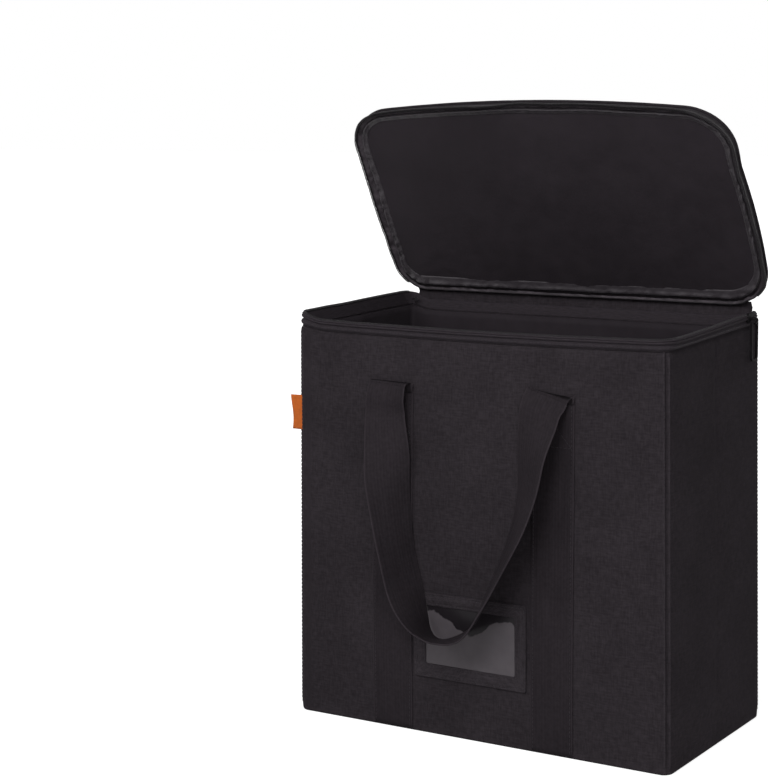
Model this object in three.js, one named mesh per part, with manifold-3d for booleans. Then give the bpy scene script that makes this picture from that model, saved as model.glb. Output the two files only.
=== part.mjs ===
// Soft-sided carrying case for 12-inch records, standing open on its base.
// Millimetres, +Z up, +X to the right, +Y to the back. The origin is on the floor, under the middle
// of the case.
import * as THREE from "three";
import { mergeVertices } from "three/addons/utils/BufferGeometryUtils.js";
import Module from "manifold-3d";

const wasm = await Module();
wasm.setup();

// Overall sizes of the case
const caseWidth = 345;
const caseDepth = 182;
const seamHeight = 338; // floor to the seam under the rim band
const wallCornerRadius = 10;
const rimCornerRadius = 28;

// Layers of the walls and the base
const clothThickness = 1.2;
const boardThickness = 3;
const liningThickness = 0.8;
const baseBoardThickness = 4;
const baseBoardClearance = 1;
const cornerPocketClearance = 0.4; // bottom lining to the cloth round it

// Gaps
const runningGap = 0.3; // between pieces that move past each other
const layerGap = 0.3; // between the layers of a turned piece
const trimGap = 0.1; // trim to the cloth it is sewn on

// Rim band, zip and hinge strip
const rimBandHeight = 8;
const tapeThickness = 1.2;
const toothHeight = 2.4;
const toothWidth = 2.4;
const toothProud = 0.6; // how far the teeth stand out from the tape
const pipingHeight = 2.2;
const pipingProud = 0.9;
const endStopLength = 4;

// Lid
const lidOpening = THREE.MathUtils.degToRad(62);
const lidBoardThickness = 4;
const lidTapeDrop = 2.9; // how far the lid's zip tape reaches below its board
const hingeSetback = 3.3; // hinge line to the lid's back edge
const hingeFlapThickness = 1.2;
const bindingWidth = 6;
const bindingThickness = 1;

// Webbing straps and handles
const webbingWidth = 38.7;
const webbingThickness = 1.4;
const strapSpacing = 152.7; // middle to middle of the two straps
const strapTopDrop = 38; // seam to the fold where the straps leave the panels as handles
const handleFoldRadius = 1.6; // folded end of the handle, round the swing axis
const handleDrop = 218.3; // swing axis to the middle of the hanging grip
const handleStandOff = 0.6; // hanging handle to the thickest thing on the panel

// Label pocket
const pocketWidth = 107;
const pocketHeight = 74;
const pocketBottom = 47;
const pocketOffset = 3.5; // how far it sits left of the middle
const pocketCornerRadius = 1.5;
const pocketBackingThickness = 0.6;
const pocketFrameThickness = 0.8;
const windowWidth = 85;
const windowHeight = 44;
const windowLift = 13; // bottom of the pocket to the bottom of the window opening
const windowLap = 4; // how far the clear sheet runs under the frame
const windowThickness = 0.4;

// Side tag
const tagHeight = 30;
const tagBottom = 250;
const tagReach = 9; // how far it stands out past the side
const tagThickness = 1.2;
const tagInset = 1; // front face to the tag

// Zip sliders and pulls
const sliderLength = 13;
const sliderHeight = 8;
const sliderThickness = 2.4;
const sliderCornerRadius = 2.5;
const sliderRest = 25; // back face to the parked slider
const lugRadius = 3.2;
const lugHoleRadius = 1.8;
const lugThickness = 2.4;
const lugReach = 2.6; // slider face to the middle of the lug
const lugDrop = 2; // middle of the slider to the middle of the lug
const pullWidth = 13;
const pullLength = 35;
const pullBar = 2;
const pullCornerRadius = 4;

// Fineness of round outlines
const cornerSteps = 8;
const roundSides = 16;
const handleSections = 44;
const mergeTolerance = 0.001;

// The hanging handle: each row gives across as a share of the half spacing of the straps, down as a
// share of the handle's drop, and the webbing's turn as a share of a quarter turn.
const hangingHandleShares = [
  [-1, 0.02, 0],
  [-1, 0.1, 0.06],
  [-1.01, 0.22, 0.2],
  [-0.99, 0.4, 0.42],
  [-0.92, 0.53, 0.58],
  [-0.82, 0.65, 0.74],
  [-0.72, 0.76, 0.86],
  [-0.62, 0.86, 0.95],
  [-0.47, 0.945, 1],
  [-0.22, 0.99, 1],
  [0, 1, 1],
  [0.2, 0.985, 1],
  [0.36, 0.93, 1],
  [0.47, 0.86, 0.97],
  [0.55, 0.77, 0.9],
  [0.61, 0.68, 0.8],
  [0.67, 0.57, 0.68],
  [0.74, 0.43, 0.5],
  [0.81, 0.28, 0.33],
  [0.9, 0.14, 0.12],
  [0.99, 0.04, 0],
  [1, 0.02, 0],
];

// Heights and faces that several pieces share
const rimTop = seamHeight + rimBandHeight;
const teethTop = rimTop + toothHeight;
const lidTeethRise = runningGap + toothHeight + layerGap;
const hingeHeight = teethTop + lidTeethRise + lidTapeDrop;
const frontFace = -caseDepth / 2;
const wallThickness = clothThickness + boardThickness + liningThickness;
const wallFoot = clothThickness + liningThickness;
const lidDepth = caseDepth - hingeSetback;
const halfSpacing = strapSpacing / 2;
const strapTop = seamHeight - strapTopDrop;
const handleAxisOut = webbingThickness + runningGap + handleFoldRadius;
const handleAxisHeight = strapTop - handleFoldRadius;
const pocketDepth = pocketBackingThickness + windowThickness + pocketFrameThickness;

// Finishes
const finishes = {
  cloth: { color: 0x29262a, roughness: 0.85, metalness: 0 },
  lining: { color: 0x242124, roughness: 0.7, metalness: 0 },
  webbing: { color: 0x2b282b, roughness: 0.8, metalness: 0 },
  tape: { color: 0x262326, roughness: 0.75, metalness: 0 },
  teeth: { color: 0x1c1a1c, roughness: 0.45, metalness: 0 },
  board: { color: 0x8a8378, roughness: 0.9, metalness: 0 },
  clear: { color: 0x4c4a4d, roughness: 0.15, metalness: 0 },
  tag: { color: 0xc4682a, roughness: 0.7, metalness: 0 },
  metal: { color: 0x18181a, roughness: 0.4, metalness: 0.6 },
};

function piece(name, finish, geometry) {
  const mesh = new THREE.Mesh(geometry, new THREE.MeshStandardMaterial(finishes[finish]));
  mesh.name = name;
  return mesh;
}

// A block given by its size and its middle.
function block(name, finish, size, middle) {
  const mesh = piece(name, finish, new THREE.BoxGeometry(...size));
  mesh.position.set(...middle);
  return mesh;
}

// Points of a rounded rectangle, anticlockwise from the middle of its +X side.
function roundedLoop(width, depth, radius) {
  const points = [];
  for (let corner = 0; corner < 4; corner++) {
    const start = (corner * Math.PI) / 2;
    const alongX = corner === 0 || corner === 3 ? 1 : -1;
    const alongY = corner < 2 ? 1 : -1;
    for (let step = 0; step <= cornerSteps; step++) {
      const angle = start + (step / cornerSteps) * (Math.PI / 2);
      const x = alongX * (width / 2 - radius) + radius * Math.cos(angle);
      const y = alongY * (depth / 2 - radius) + radius * Math.sin(angle);
      points.push(new THREE.Vector2(x, y));
    }
  }
  return points;
}

// The same outline moved inwards by an even distance.
function insetLoop(width, depth, radius, inset) {
  return roundedLoop(width - 2 * inset, depth - 2 * inset, radius - inset);
}

// The stretch of an outline from the middle of its back left corner, round the front, to the middle
// of its back right corner: the zip runs along it.
function zipStretch(loop) {
  const corner = cornerSteps + 1;
  const first = corner + cornerSteps / 2;
  const last = 4 * corner + cornerSteps / 2;
  const stretch = [];
  for (let i = first; i <= last; i++) {
    stretch.push(loop[i % loop.length]);
  }
  return stretch;
}

function extrude(outline, height, hole) {
  const shape = new THREE.Shape(outline);
  if (hole) {
    shape.holes.push(new THREE.Path(hole));
  }
  return new THREE.ExtrudeGeometry(shape, { depth: height, bevelEnabled: false });
}

// A band that follows the zip's stretch between two outlines.
function zipBand(outer, inner, height) {
  return extrude([...zipStretch(outer), ...zipStretch(inner).reverse()], height);
}

// Turns a shape drawn in X and Y to face the front, its thickness towards the viewer.
function faceFront(geometry) {
  const basis = new THREE.Matrix4();
  const across = new THREE.Vector3(1, 0, 0);
  const up = new THREE.Vector3(0, 0, 1);
  const out = new THREE.Vector3(0, -1, 0);
  return geometry.applyMatrix4(basis.makeBasis(across, up, out));
}

// Turns a shape drawn in X and Y to face the right, its thickness towards +X.
function faceRight(geometry) {
  const basis = new THREE.Matrix4();
  const across = new THREE.Vector3(0, 1, 0);
  const up = new THREE.Vector3(0, 0, 1);
  const out = new THREE.Vector3(1, 0, 0);
  return geometry.applyMatrix4(basis.makeBasis(across, up, out));
}

function signedVolume(points, index) {
  let sum = 0;
  for (let i = 0; i < index.length; i += 3) {
    const [a, b, c] = [points[index[i]], points[index[i + 1]], points[index[i + 2]]];
    sum += a.dot(new THREE.Vector3().crossVectors(b, c)) / 6;
  }
  return sum;
}

// A closed body through a row of like convex outlines, looped or capped at its ends.
function sweep(sections, looped) {
  const count = sections[0].length;
  const points = sections.flat();
  const index = [];
  const spans = looped ? sections.length : sections.length - 1;
  for (let i = 0; i < spans; i++) {
    const near = i * count;
    const far = ((i + 1) % sections.length) * count;
    for (let j = 0; j < count; j++) {
      const next = (j + 1) % count;
      index.push(near + j, near + next, far + next);
      index.push(near + j, far + next, far + j);
    }
  }
  const last = points.length - count;
  for (let j = 1; j < count - 1 && !looped; j++) {
    index.push(0, j + 1, j);
    index.push(last, last + j, last + j + 1);
  }
  if (signedVolume(points, index) < 0) {
    index.reverse();
  }
  const geometry = new THREE.BufferGeometry().setFromPoints(points);
  geometry.setIndex(index);
  return geometry;
}

function solidOf(geometry) {
  const plain = new THREE.BufferGeometry();
  plain.setAttribute("position", geometry.getAttribute("position"));
  plain.setIndex(geometry.index);
  const merged = mergeVertices(plain, mergeTolerance);
  const vertProperties = merged.getAttribute("position").array;
  const triVerts = new Uint32Array(merged.index.array);
  return new wasm.Manifold(new wasm.Mesh({ numProp: 3, vertProperties, triVerts }));
}

function joined(geometries) {
  const solids = geometries.map(solidOf);
  const mesh = solids.reduce((sum, next) => sum.add(next)).getMesh();
  const geometry = new THREE.BufferGeometry();
  geometry.setAttribute("position", new THREE.BufferAttribute(mesh.vertProperties, 3));
  geometry.setIndex(new THREE.BufferAttribute(mesh.triVerts, 1));
  return geometry;
}

// Outer cloth: four flat panels, the bottom and a stitched seam at each upright corner.
function outerCloth() {
  const group = new THREE.Group();
  const height = seamHeight - clothThickness;
  const middle = clothThickness + height / 2;
  const straightWidth = caseWidth - 2 * wallCornerRadius;
  const straightDepth = caseDepth - 2 * wallCornerRadius;
  const outX = (caseWidth - clothThickness) / 2;
  const outY = (caseDepth - clothThickness) / 2;
  const wide = [straightWidth, clothThickness, height];
  const narrow = [clothThickness, straightDepth, height];
  group.add(block("front_cloth", "cloth", wide, [0, -outY, middle]));
  group.add(block("back_cloth", "cloth", wide, [0, outY, middle]));
  group.add(block("left_cloth", "cloth", narrow, [-outX, 0, middle]));
  group.add(block("right_cloth", "cloth", narrow, [outX, 0, middle]));
  const outline = roundedLoop(caseWidth, caseDepth, wallCornerRadius);
  group.add(piece("bottom_cloth", "cloth", extrude(outline, clothThickness)));
  const inner = insetLoop(caseWidth, caseDepth, wallCornerRadius, clothThickness);
  ["back_right", "back_left", "front_left", "front_right"].forEach((place, corner) => {
    const first = corner * (cornerSteps + 1);
    const last = first + cornerSteps + 1;
    const section = [...outline.slice(first, last), ...inner.slice(first, last).reverse()];
    const seam = piece(place + "_corner_seam", "cloth", extrude(section, height));
    seam.position.z = clothThickness;
    group.add(seam);
  });
  return group;
}

// Boards in the walls, between the cloth and the lining.
function wallBoards() {
  const group = new THREE.Group();
  const height = seamHeight - wallFoot;
  const middle = wallFoot + height / 2;
  const outX = caseWidth / 2 - clothThickness - boardThickness / 2;
  const outY = caseDepth / 2 - clothThickness - boardThickness / 2;
  const wide = [caseWidth - 2 * wallCornerRadius, boardThickness, height];
  const narrow = [boardThickness, caseDepth - 2 * wallCornerRadius, height];
  group.add(block("front_board", "board", wide, [0, -outY, middle]));
  group.add(block("back_board", "board", wide, [0, outY, middle]));
  group.add(block("left_board", "board", narrow, [-outX, 0, middle]));
  group.add(block("right_board", "board", narrow, [outX, 0, middle]));
  return group;
}

// Lining on the inside of the walls and the bottom, and the board that lies on it.
function lining() {
  const group = new THREE.Group();
  const height = seamHeight - wallFoot;
  const middle = wallFoot + height / 2;
  const insideWidth = caseWidth - 2 * wallThickness;
  const insideDepth = caseDepth - 2 * wallThickness;
  const outX = (insideWidth + liningThickness) / 2;
  const outY = (insideDepth + liningThickness) / 2;
  const wide = [insideWidth + 2 * liningThickness, liningThickness, height];
  const narrow = [liningThickness, insideDepth, height];
  group.add(block("front_lining", "lining", wide, [0, -outY, middle]));
  group.add(block("back_lining", "lining", wide, [0, outY, middle]));
  group.add(block("left_lining", "lining", narrow, [-outX, 0, middle]));
  group.add(block("right_lining", "lining", narrow, [outX, 0, middle]));
  const inset = clothThickness + cornerPocketClearance;
  const floorOutline = insetLoop(caseWidth, caseDepth, wallCornerRadius, inset);
  const floor = piece("bottom_lining", "lining", extrude(floorOutline, liningThickness));
  floor.position.z = clothThickness;
  group.add(floor);
  const baseWidth = insideWidth - 2 * baseBoardClearance;
  const baseDepth = insideDepth - 2 * baseBoardClearance;
  const baseMiddle = wallFoot + baseBoardThickness / 2;
  const baseSize = [baseWidth, baseDepth, baseBoardThickness];
  group.add(block("base_board", "board", baseSize, [0, 0, baseMiddle]));
  return group;
}

// The rim band slants inwards at the corners, from the walls' small radius to the zip's large one.
function rimBand() {
  const wallOuter = roundedLoop(caseWidth, caseDepth, wallCornerRadius);
  const wallInner = insetLoop(caseWidth, caseDepth, wallCornerRadius, tapeThickness);
  const zipOuter = roundedLoop(caseWidth, caseDepth, rimCornerRadius);
  const zipInner = insetLoop(caseWidth, caseDepth, rimCornerRadius, tapeThickness);
  const sections = wallOuter.map((point, i) => [
    new THREE.Vector3(point.x, point.y, seamHeight),
    new THREE.Vector3(zipOuter[i].x, zipOuter[i].y, rimTop),
    new THREE.Vector3(zipInner[i].x, zipInner[i].y, rimTop),
    new THREE.Vector3(wallInner[i].x, wallInner[i].y, seamHeight),
  ]);
  return piece("rim_band", "tape", sweep(sections, true));
}

function rimTrim() {
  const group = new THREE.Group();
  const outer = insetLoop(caseWidth, caseDepth, rimCornerRadius, -toothProud);
  const inner = insetLoop(caseWidth, caseDepth, rimCornerRadius, toothWidth - toothProud);
  const teeth = piece("rim_zip_teeth", "teeth", zipBand(outer, inner, toothHeight));
  teeth.position.z = rimTop;
  group.add(teeth);
  const pipeOuter = insetLoop(caseWidth, caseDepth, wallCornerRadius, -pipingProud);
  const pipeInner = insetLoop(caseWidth, caseDepth, wallCornerRadius, -trimGap);
  const piping = piece("rim_seam_piping", "cloth", extrude(pipeOuter, pipingHeight, pipeInner));
  piping.position.z = seamHeight - pipingHeight;
  group.add(piping);
  const stripWidth = caseWidth - 2 * rimCornerRadius;
  const stripTop = hingeHeight - hingeFlapThickness / 2 - runningGap;
  const stripSize = [stripWidth, tapeThickness, stripTop - rimTop];
  const stripMiddle = [0, (caseDepth - tapeThickness) / 2, (stripTop + rimTop) / 2];
  group.add(block("lid_hinge_strip", "cloth", stripSize, stripMiddle));
  [["left", -1], ["right", 1]].forEach(([side, sign]) => {
    group.add(zipEndStop(side + "_zip_end_stop", sign));
  });
  return group;
}

// A stop closes each end of the teeth, half way round the back corner.
function zipEndStop(name, sign) {
  const size = [toothWidth, endStopLength, toothHeight];
  const radius = rimCornerRadius + toothProud - toothWidth / 2;
  const turn = Math.PI / 4;
  const pastTeeth = (endStopLength / 2 + layerGap) * Math.SQRT1_2;
  const x = caseWidth / 2 - rimCornerRadius + radius * Math.cos(turn) - pastTeeth;
  const y = caseDepth / 2 - rimCornerRadius + radius * Math.sin(turn) + pastTeeth;
  const stop = block(name, "teeth", size, [sign * x, y, rimTop + toothHeight / 2]);
  stop.rotation.z = sign * turn;
  return stop;
}

// Webbing sewn up the front and the back, two straps each.
function straps() {
  const group = new THREE.Group();
  const height = strapTop - clothThickness;
  const size = [webbingWidth, webbingThickness, height];
  const outY = (caseDepth + webbingThickness) / 2;
  [["front", -1], ["back", 1]].forEach(([face, signY]) => {
    [["left", -1], ["right", 1]].forEach(([side, signX]) => {
      const middle = [signX * halfSpacing, signY * outY, clothThickness + height / 2];
      group.add(block(face + "_" + side + "_strap", "webbing", size, middle));
    });
  });
  return group;
}

function labelPocket() {
  const group = new THREE.Group();
  const outline = roundedLoop(pocketWidth, pocketHeight, pocketCornerRadius);
  const backing = piece(
    "label_pocket_backing",
    "cloth",
    faceFront(extrude(outline, pocketBackingThickness)),
  );
  group.add(backing);
  const openingLift = windowLift + windowHeight / 2 - pocketHeight / 2;
  const sheetSize = [windowWidth + 2 * windowLap, windowThickness, windowHeight + 2 * windowLap];
  const sheetOut = pocketBackingThickness + windowThickness / 2;
  group.add(block("label_window", "clear", sheetSize, [0, -sheetOut, openingLift]));
  const opening = roundedLoop(windowWidth, windowHeight, pocketCornerRadius);
  opening.forEach((point) => {
    point.y += openingLift;
  });
  const frameShape = extrude(outline, pocketFrameThickness, opening);
  const frame = piece("label_pocket_frame", "cloth", faceFront(frameShape));
  frame.position.y = -pocketBackingThickness - windowThickness;
  group.add(frame);
  group.position.set(-pocketOffset, frontFace, pocketBottom + pocketHeight / 2);
  return group;
}

// The tag is caught in the front left corner seam and stands out to the left.
function sideTag() {
  const middleY = frontFace + tagInset + tagThickness / 2;
  const nearestY = tagInset + tagThickness;
  const down = wallCornerRadius - nearestY;
  const seamReach = Math.sqrt(wallCornerRadius ** 2 - down ** 2);
  const root = caseWidth / 2 - wallCornerRadius + seamReach + layerGap;
  const tip = caseWidth / 2 + tagReach;
  const size = [tip - root, tagThickness, tagHeight];
  const middle = [-(tip + root) / 2, middleY, tagBottom + tagHeight / 2];
  return block("side_tag", "tag", size, middle);
}

// The outline across the webbing at one place of a handle. The webbing runs along the given way, and
// its width is turned partly across and partly out from the panel.
function webbingSection(place, along, turn, halfThickness) {
  const restLine = handleAxisOut - pocketDepth - handleStandOff;
  const wide = new THREE.Vector3(-along.z, 0, along.x).multiplyScalar(Math.cos(turn));
  wide.y = Math.sin(turn);
  const thick = new THREE.Vector3().crossVectors(along, wide).multiplyScalar(halfThickness);
  wide.multiplyScalar(webbingWidth / 2);
  const out = Math.min(0, restLine - Math.abs(wide.y) - Math.abs(thick.y));
  const middle = new THREE.Vector3(place.x, out, place.z);
  return [
    middle.clone().add(wide).add(thick),
    middle.clone().sub(wide).add(thick),
    middle.clone().sub(wide).sub(thick),
    middle.clone().add(wide).sub(thick),
  ];
}

// The folded end of a handle, as a square bar that turns inside the fold's round outline.
function foldSections(sign, heights) {
  const halfThickness = handleFoldRadius * Math.SQRT1_2;
  const along = new THREE.Vector3(0, 0, sign);
  return heights.map((height) => {
    const place = new THREE.Vector3(sign * halfSpacing, 0, height * halfThickness);
    return webbingSection(place, along, 0, halfThickness);
  });
}

// A webbing handle that hangs from its two folded ends, its swing axis through the origin.
function handle(name) {
  const places = hangingHandleShares.map(
    ([across, down, turn]) => [across * halfSpacing, turn * halfSpacing, -down * handleDrop],
  );
  const curve = new THREE.CatmullRomCurve3(places.map((place) => new THREE.Vector3(...place)));
  const hanging = curve.getPoints(handleSections).map((place, i) => {
    const along = curve.getTangent(i / handleSections).setY(0).normalize();
    const turn = THREE.MathUtils.clamp(place.y / halfSpacing, 0, 1) * (Math.PI / 2);
    return webbingSection(place, along, turn, webbingThickness / 2);
  });
  const sections = [...foldSections(-1, [1, -1]), ...hanging, ...foldSections(1, [-1, 1])];
  return piece(name, "webbing", sweep(sections, false));
}

function handles() {
  const group = new THREE.Group();
  const out = caseDepth / 2 + handleAxisOut;
  const front = handle("front_handle");
  front.position.set(0, -out, handleAxisHeight);
  const back = handle("back_handle");
  back.position.set(0, out, handleAxisHeight);
  back.rotation.z = Math.PI;
  group.add(front, back);
  return group;
}

// The lid lies flat in its own group, its hinge line through the origin, and the group is turned.
function lid() {
  const group = new THREE.Group();
  const middleY = -hingeSetback - lidDepth / 2;
  const lidLoop = (inset) => insetLoop(caseWidth, lidDepth, rimCornerRadius, inset);
  const layers = [
    ["lid_lining", "lining", tapeThickness + layerGap, liningThickness, -layerGap - liningThickness],
    ["lid_board", "board", tapeThickness + layerGap, lidBoardThickness, 0],
    ["lid_cloth", "cloth", 0, clothThickness, lidBoardThickness + layerGap],
  ];
  layers.forEach(([name, finish, inset, thickness, height]) => {
    const layer = piece(name, finish, extrude(lidLoop(inset), thickness));
    layer.position.set(0, middleY, height);
    group.add(layer);
  });
  const tapeHeight = lidTapeDrop + lidBoardThickness;
  const tape = piece("lid_zip_tape", "tape", zipBand(lidLoop(0), lidLoop(tapeThickness), tapeHeight));
  tape.position.set(0, middleY, -lidTapeDrop);
  const teethShape = zipBand(lidLoop(-toothProud), lidLoop(toothWidth - toothProud), toothHeight);
  const teeth = piece("lid_zip_teeth", "teeth", teethShape);
  teeth.position.set(0, middleY, -lidTapeDrop - layerGap - toothHeight);
  const pipingShape = zipBand(lidLoop(-pipingProud), lidLoop(-trimGap - layerGap), pipingHeight);
  const piping = piece("lid_edge_piping", "cloth", pipingShape);
  piping.position.set(0, middleY, lidBoardThickness + layerGap + clothThickness - pipingHeight);
  const bindingInset = tapeThickness + 2 * layerGap;
  const bindingHole = lidLoop(bindingInset + bindingWidth);
  const bindingShape = extrude(lidLoop(bindingInset), bindingThickness, bindingHole);
  const binding = piece("lid_seam_binding", "tape", bindingShape);
  binding.position.set(0, middleY, -liningThickness - 2 * layerGap - bindingThickness);
  const flapReach = hingeSetback + tapeThickness - runningGap;
  const flapSize = [caseWidth - 2 * rimCornerRadius, flapReach, hingeFlapThickness];
  const flap = block("lid_hinge_flap", "cloth", flapSize, [0, -runningGap - flapReach / 2, 0]);
  group.add(tape, teeth, piping, binding, flap);
  group.position.set(0, caseDepth / 2, hingeHeight);
  group.rotation.x = -lidOpening;
  return group;
}

// A slider's plate and the lug its pull hangs in, drawn for the right side.
function slider(name) {
  const outline = roundedLoop(sliderLength, sliderHeight, sliderCornerRadius);
  const plate = faceRight(extrude(outline, sliderThickness));
  const ear = new THREE.Shape().absarc(0, 0, lugRadius, 0, 2 * Math.PI);
  ear.holes.push(new THREE.Path().absarc(0, 0, lugHoleRadius, 0, 2 * Math.PI));
  const lugShape = { depth: lugThickness, bevelEnabled: false, curveSegments: roundSides };
  const lug = faceFront(new THREE.ExtrudeGeometry(ear, lugShape));
  lug.translate(sliderThickness + lugReach, lugThickness / 2, -lugDrop);
  return piece(name, "metal", joined([plate, lug]));
}

// An oblong loop whose upper bar lies in the slider's lug.
function pull(name) {
  const outer = roundedLoop(pullWidth, pullLength, pullCornerRadius);
  const inner = insetLoop(pullWidth, pullLength, pullCornerRadius, pullBar);
  const loop = faceRight(extrude(outer, pullBar, inner));
  loop.translate(-pullBar / 2, 0, (pullBar - pullLength) / 2);
  const mesh = piece(name, "metal", loop);
  mesh.position.set(sliderThickness + lugReach, 0, -lugDrop);
  return mesh;
}

function zipSliders() {
  const group = new THREE.Group();
  const x = caseWidth / 2 + toothProud + runningGap;
  const y = caseDepth / 2 - sliderRest;
  const z = teethTop + runningGap / 2;
  [["left", -1], ["right", 1]].forEach(([side, sign]) => {
    const set = new THREE.Group();
    set.add(slider(side + "_zip_slider"), pull(side + "_zip_pull"));
    set.position.set(sign * x, y, z);
    set.rotation.z = sign < 0 ? Math.PI : 0;
    group.add(set);
  });
  return group;
}

const recordCase = new THREE.Group();
recordCase.add(outerCloth());
recordCase.add(wallBoards());
recordCase.add(lining());
recordCase.add(rimBand());
recordCase.add(rimTrim());
recordCase.add(straps());
recordCase.add(labelPocket());
recordCase.add(sideTag());
recordCase.add(handles());
recordCase.add(lid());
recordCase.add(zipSliders());

export default recordCase;
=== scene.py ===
"""Looks of the soft-sided record carrying case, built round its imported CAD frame. Metres, +Z up."""
import math

import bmesh
import bpy
import numpy as np
from mathutils import Matrix, Vector, noise


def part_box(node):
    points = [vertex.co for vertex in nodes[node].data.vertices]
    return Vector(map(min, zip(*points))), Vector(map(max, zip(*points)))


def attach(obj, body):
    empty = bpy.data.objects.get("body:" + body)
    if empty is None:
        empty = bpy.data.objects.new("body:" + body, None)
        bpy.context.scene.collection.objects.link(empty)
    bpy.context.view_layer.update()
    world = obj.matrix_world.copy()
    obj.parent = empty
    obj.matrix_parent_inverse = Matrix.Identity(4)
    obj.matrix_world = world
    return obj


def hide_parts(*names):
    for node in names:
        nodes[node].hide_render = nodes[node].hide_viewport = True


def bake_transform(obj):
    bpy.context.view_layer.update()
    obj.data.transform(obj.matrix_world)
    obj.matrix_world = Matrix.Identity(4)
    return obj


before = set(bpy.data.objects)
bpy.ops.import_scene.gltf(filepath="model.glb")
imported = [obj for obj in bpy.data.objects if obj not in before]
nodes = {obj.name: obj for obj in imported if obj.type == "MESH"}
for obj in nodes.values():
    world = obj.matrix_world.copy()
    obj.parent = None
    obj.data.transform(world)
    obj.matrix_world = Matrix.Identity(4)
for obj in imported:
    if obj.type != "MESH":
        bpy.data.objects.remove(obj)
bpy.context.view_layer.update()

# Camera
IMAGE_HEIGHT = 776
FOCAL_PIXELS = 2054.3
SENSOR = 36.0
CAMERA_PLACE = Vector((0.8311, -1.5252, 0.5451))
CAMERA_YAW = math.radians(32.61)
CAMERA_PITCH = math.radians(-8.45)
CAMERA_ROLL = math.radians(-0.70)

# Sizes of the case, its lid and its webbing, in metres
SEAM_HEIGHT = 0.338
RIM_TOP = 0.346
HALF_WIDTH_FOOT = 0.1776
HALF_WIDTH_TOP = 0.1730
HALF_WIDTH_RIM = 0.1744
HALF_DEPTH_FOOT = 0.0934
HALF_DEPTH_TOP = 0.0912
HALF_DEPTH_RIM = 0.0918
PANEL_TOP = 0.3328
WALL_RADIUS = 0.009
RIM_RADIUS = 0.016
FOOT_RADIUS = 0.002
CLOTH = 0.001
LINING_INSET = 0.0046
LINING_FOOT = 0.0026
LINING_TOP = 0.337
BOARD_INSETS = (0.0020, 0.0036)
BOARD_HEIGHTS = (0.004, 0.333)
RIM_SAG = 0.0022

HINGE = Vector((0, 0.091, 0.3543))
HINGE_ENDS = (-0.1625, 0.1660)
LID_OPENING = math.radians(62)
LID_LEFT = -0.1744
LID_RIGHT = 0.1786
LID_BACK = 0.0033
LID_FRONT = 0.1866
LID_BOW = 0.0079
# Corner radii by side, left -1 or right 1, and by end, front -1 or hinge 1
LID_RADII = {(-1, -1): 0.030, (1, -1): 0.037, (1, 1): 0.033, (-1, 1): 0.023}
LID_TOP = 0.0055
LID_SKIRT_FOOT = -0.0070
LID_FLARE = 0.0025

WEBBING_WIDTH = 0.0387
WEBBING_THICKNESS = 0.0014
HALF_SPACING = 0.07635
STRAP_TOP = 0.300
HANDLE_DROP = 0.2183
HANDLE_AXIS = Vector((0, 0.0943, 0.2984))
HANDLE_REST = 0.0026


# Small helpers
def smooth(low, high, x):
    share = np.clip((x - low) / (high - low), 0.0, 1.0)
    return share * share * (3 - 2 * share)


def bell(x, middle, width):
    return np.exp(-(((x - middle) / width) ** 2))


def ripple(x, y, scale, seed):
    """Smooth noise from about -1 to 1, over arrays of places."""
    x, y, seed = np.broadcast_arrays(x, y, seed)
    flat = [
        noise.noise(Vector((float(a) / scale, float(b) / scale, float(c))))
        for a, b, c in zip(np.ravel(x), np.ravel(y), np.ravel(seed))
    ]
    return np.array(flat).reshape(np.shape(x))


def mesh_piece(name, points, faces, material, uvs=None, flat=False):
    """A mesh object. uvs gives one (u, v) in metres for each point."""
    mesh = bpy.data.meshes.new(name)
    mesh.from_pydata([tuple(p) for p in points], [], faces)
    mesh.validate()
    if uvs is not None:
        layer = mesh.uv_layers.new(name="cloth")
        corner_points = np.zeros(len(mesh.loops), np.int32)
        mesh.loops.foreach_get("vertex_index", corner_points)
        layer.data.foreach_set("uv", np.asarray(uvs, np.float32)[corner_points].ravel())
    mesh.materials.append(material)
    mesh.polygons.foreach_set("use_smooth", [not flat] * len(mesh.polygons))
    made = bpy.data.objects.new(name, mesh)
    bpy.context.scene.collection.objects.link(made)
    return made


def welded(piece, distance=0.000002):
    """Joins points that lie on each other."""
    made = bmesh.new()
    made.from_mesh(piece.data)
    bmesh.ops.remove_doubles(made, verts=made.verts, dist=distance)
    bmesh.ops.dissolve_degenerate(made, edges=made.edges, dist=distance)
    made.to_mesh(piece.data)
    made.free()
    return piece


def grid_faces(rows, columns, loop_rows=False, loop_columns=False, start=0):
    faces = []
    for i in range(rows if loop_rows else rows - 1):
        for j in range(columns if loop_columns else columns - 1):
            a = start + i * columns + j
            b = start + i * columns + (j + 1) % columns
            c = start + ((i + 1) % rows) * columns + (j + 1) % columns
            d = start + ((i + 1) % rows) * columns + j
            faces.append((a, b, c, d))
    return faces


def lengths(points):
    """Distance along a row of points, from 0."""
    steps = np.linalg.norm(np.diff(points, axis=0), axis=1)
    return np.concatenate([[0.0], np.cumsum(steps)])


def grid_piece(name, grid, material, loop_rows=False, loop_columns=False, caps=False):
    """A surface through a grid of points, with its UVs measured along rows and columns."""
    grid = np.asarray(grid, float)
    rows, columns = grid.shape[:2]
    along = lengths(grid[:, 0])
    across = lengths(grid[rows // 2])
    uvs = np.stack(np.meshgrid(across, along), -1).reshape(-1, 2)
    faces = grid_faces(rows, columns, loop_rows, loop_columns)
    if caps:
        faces.append(tuple(range(columns))[::-1])
        faces.append(tuple((rows - 1) * columns + j for j in range(columns)))
    return mesh_piece(name, grid.reshape(-1, 3), faces, material, uvs)


def thicken(piece, thickness, offset=-1.0):
    solid = piece.modifiers.new("thickness", "SOLIDIFY")
    solid.thickness = thickness
    solid.offset = offset
    solid.use_even_offset = True
    return piece


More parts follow.
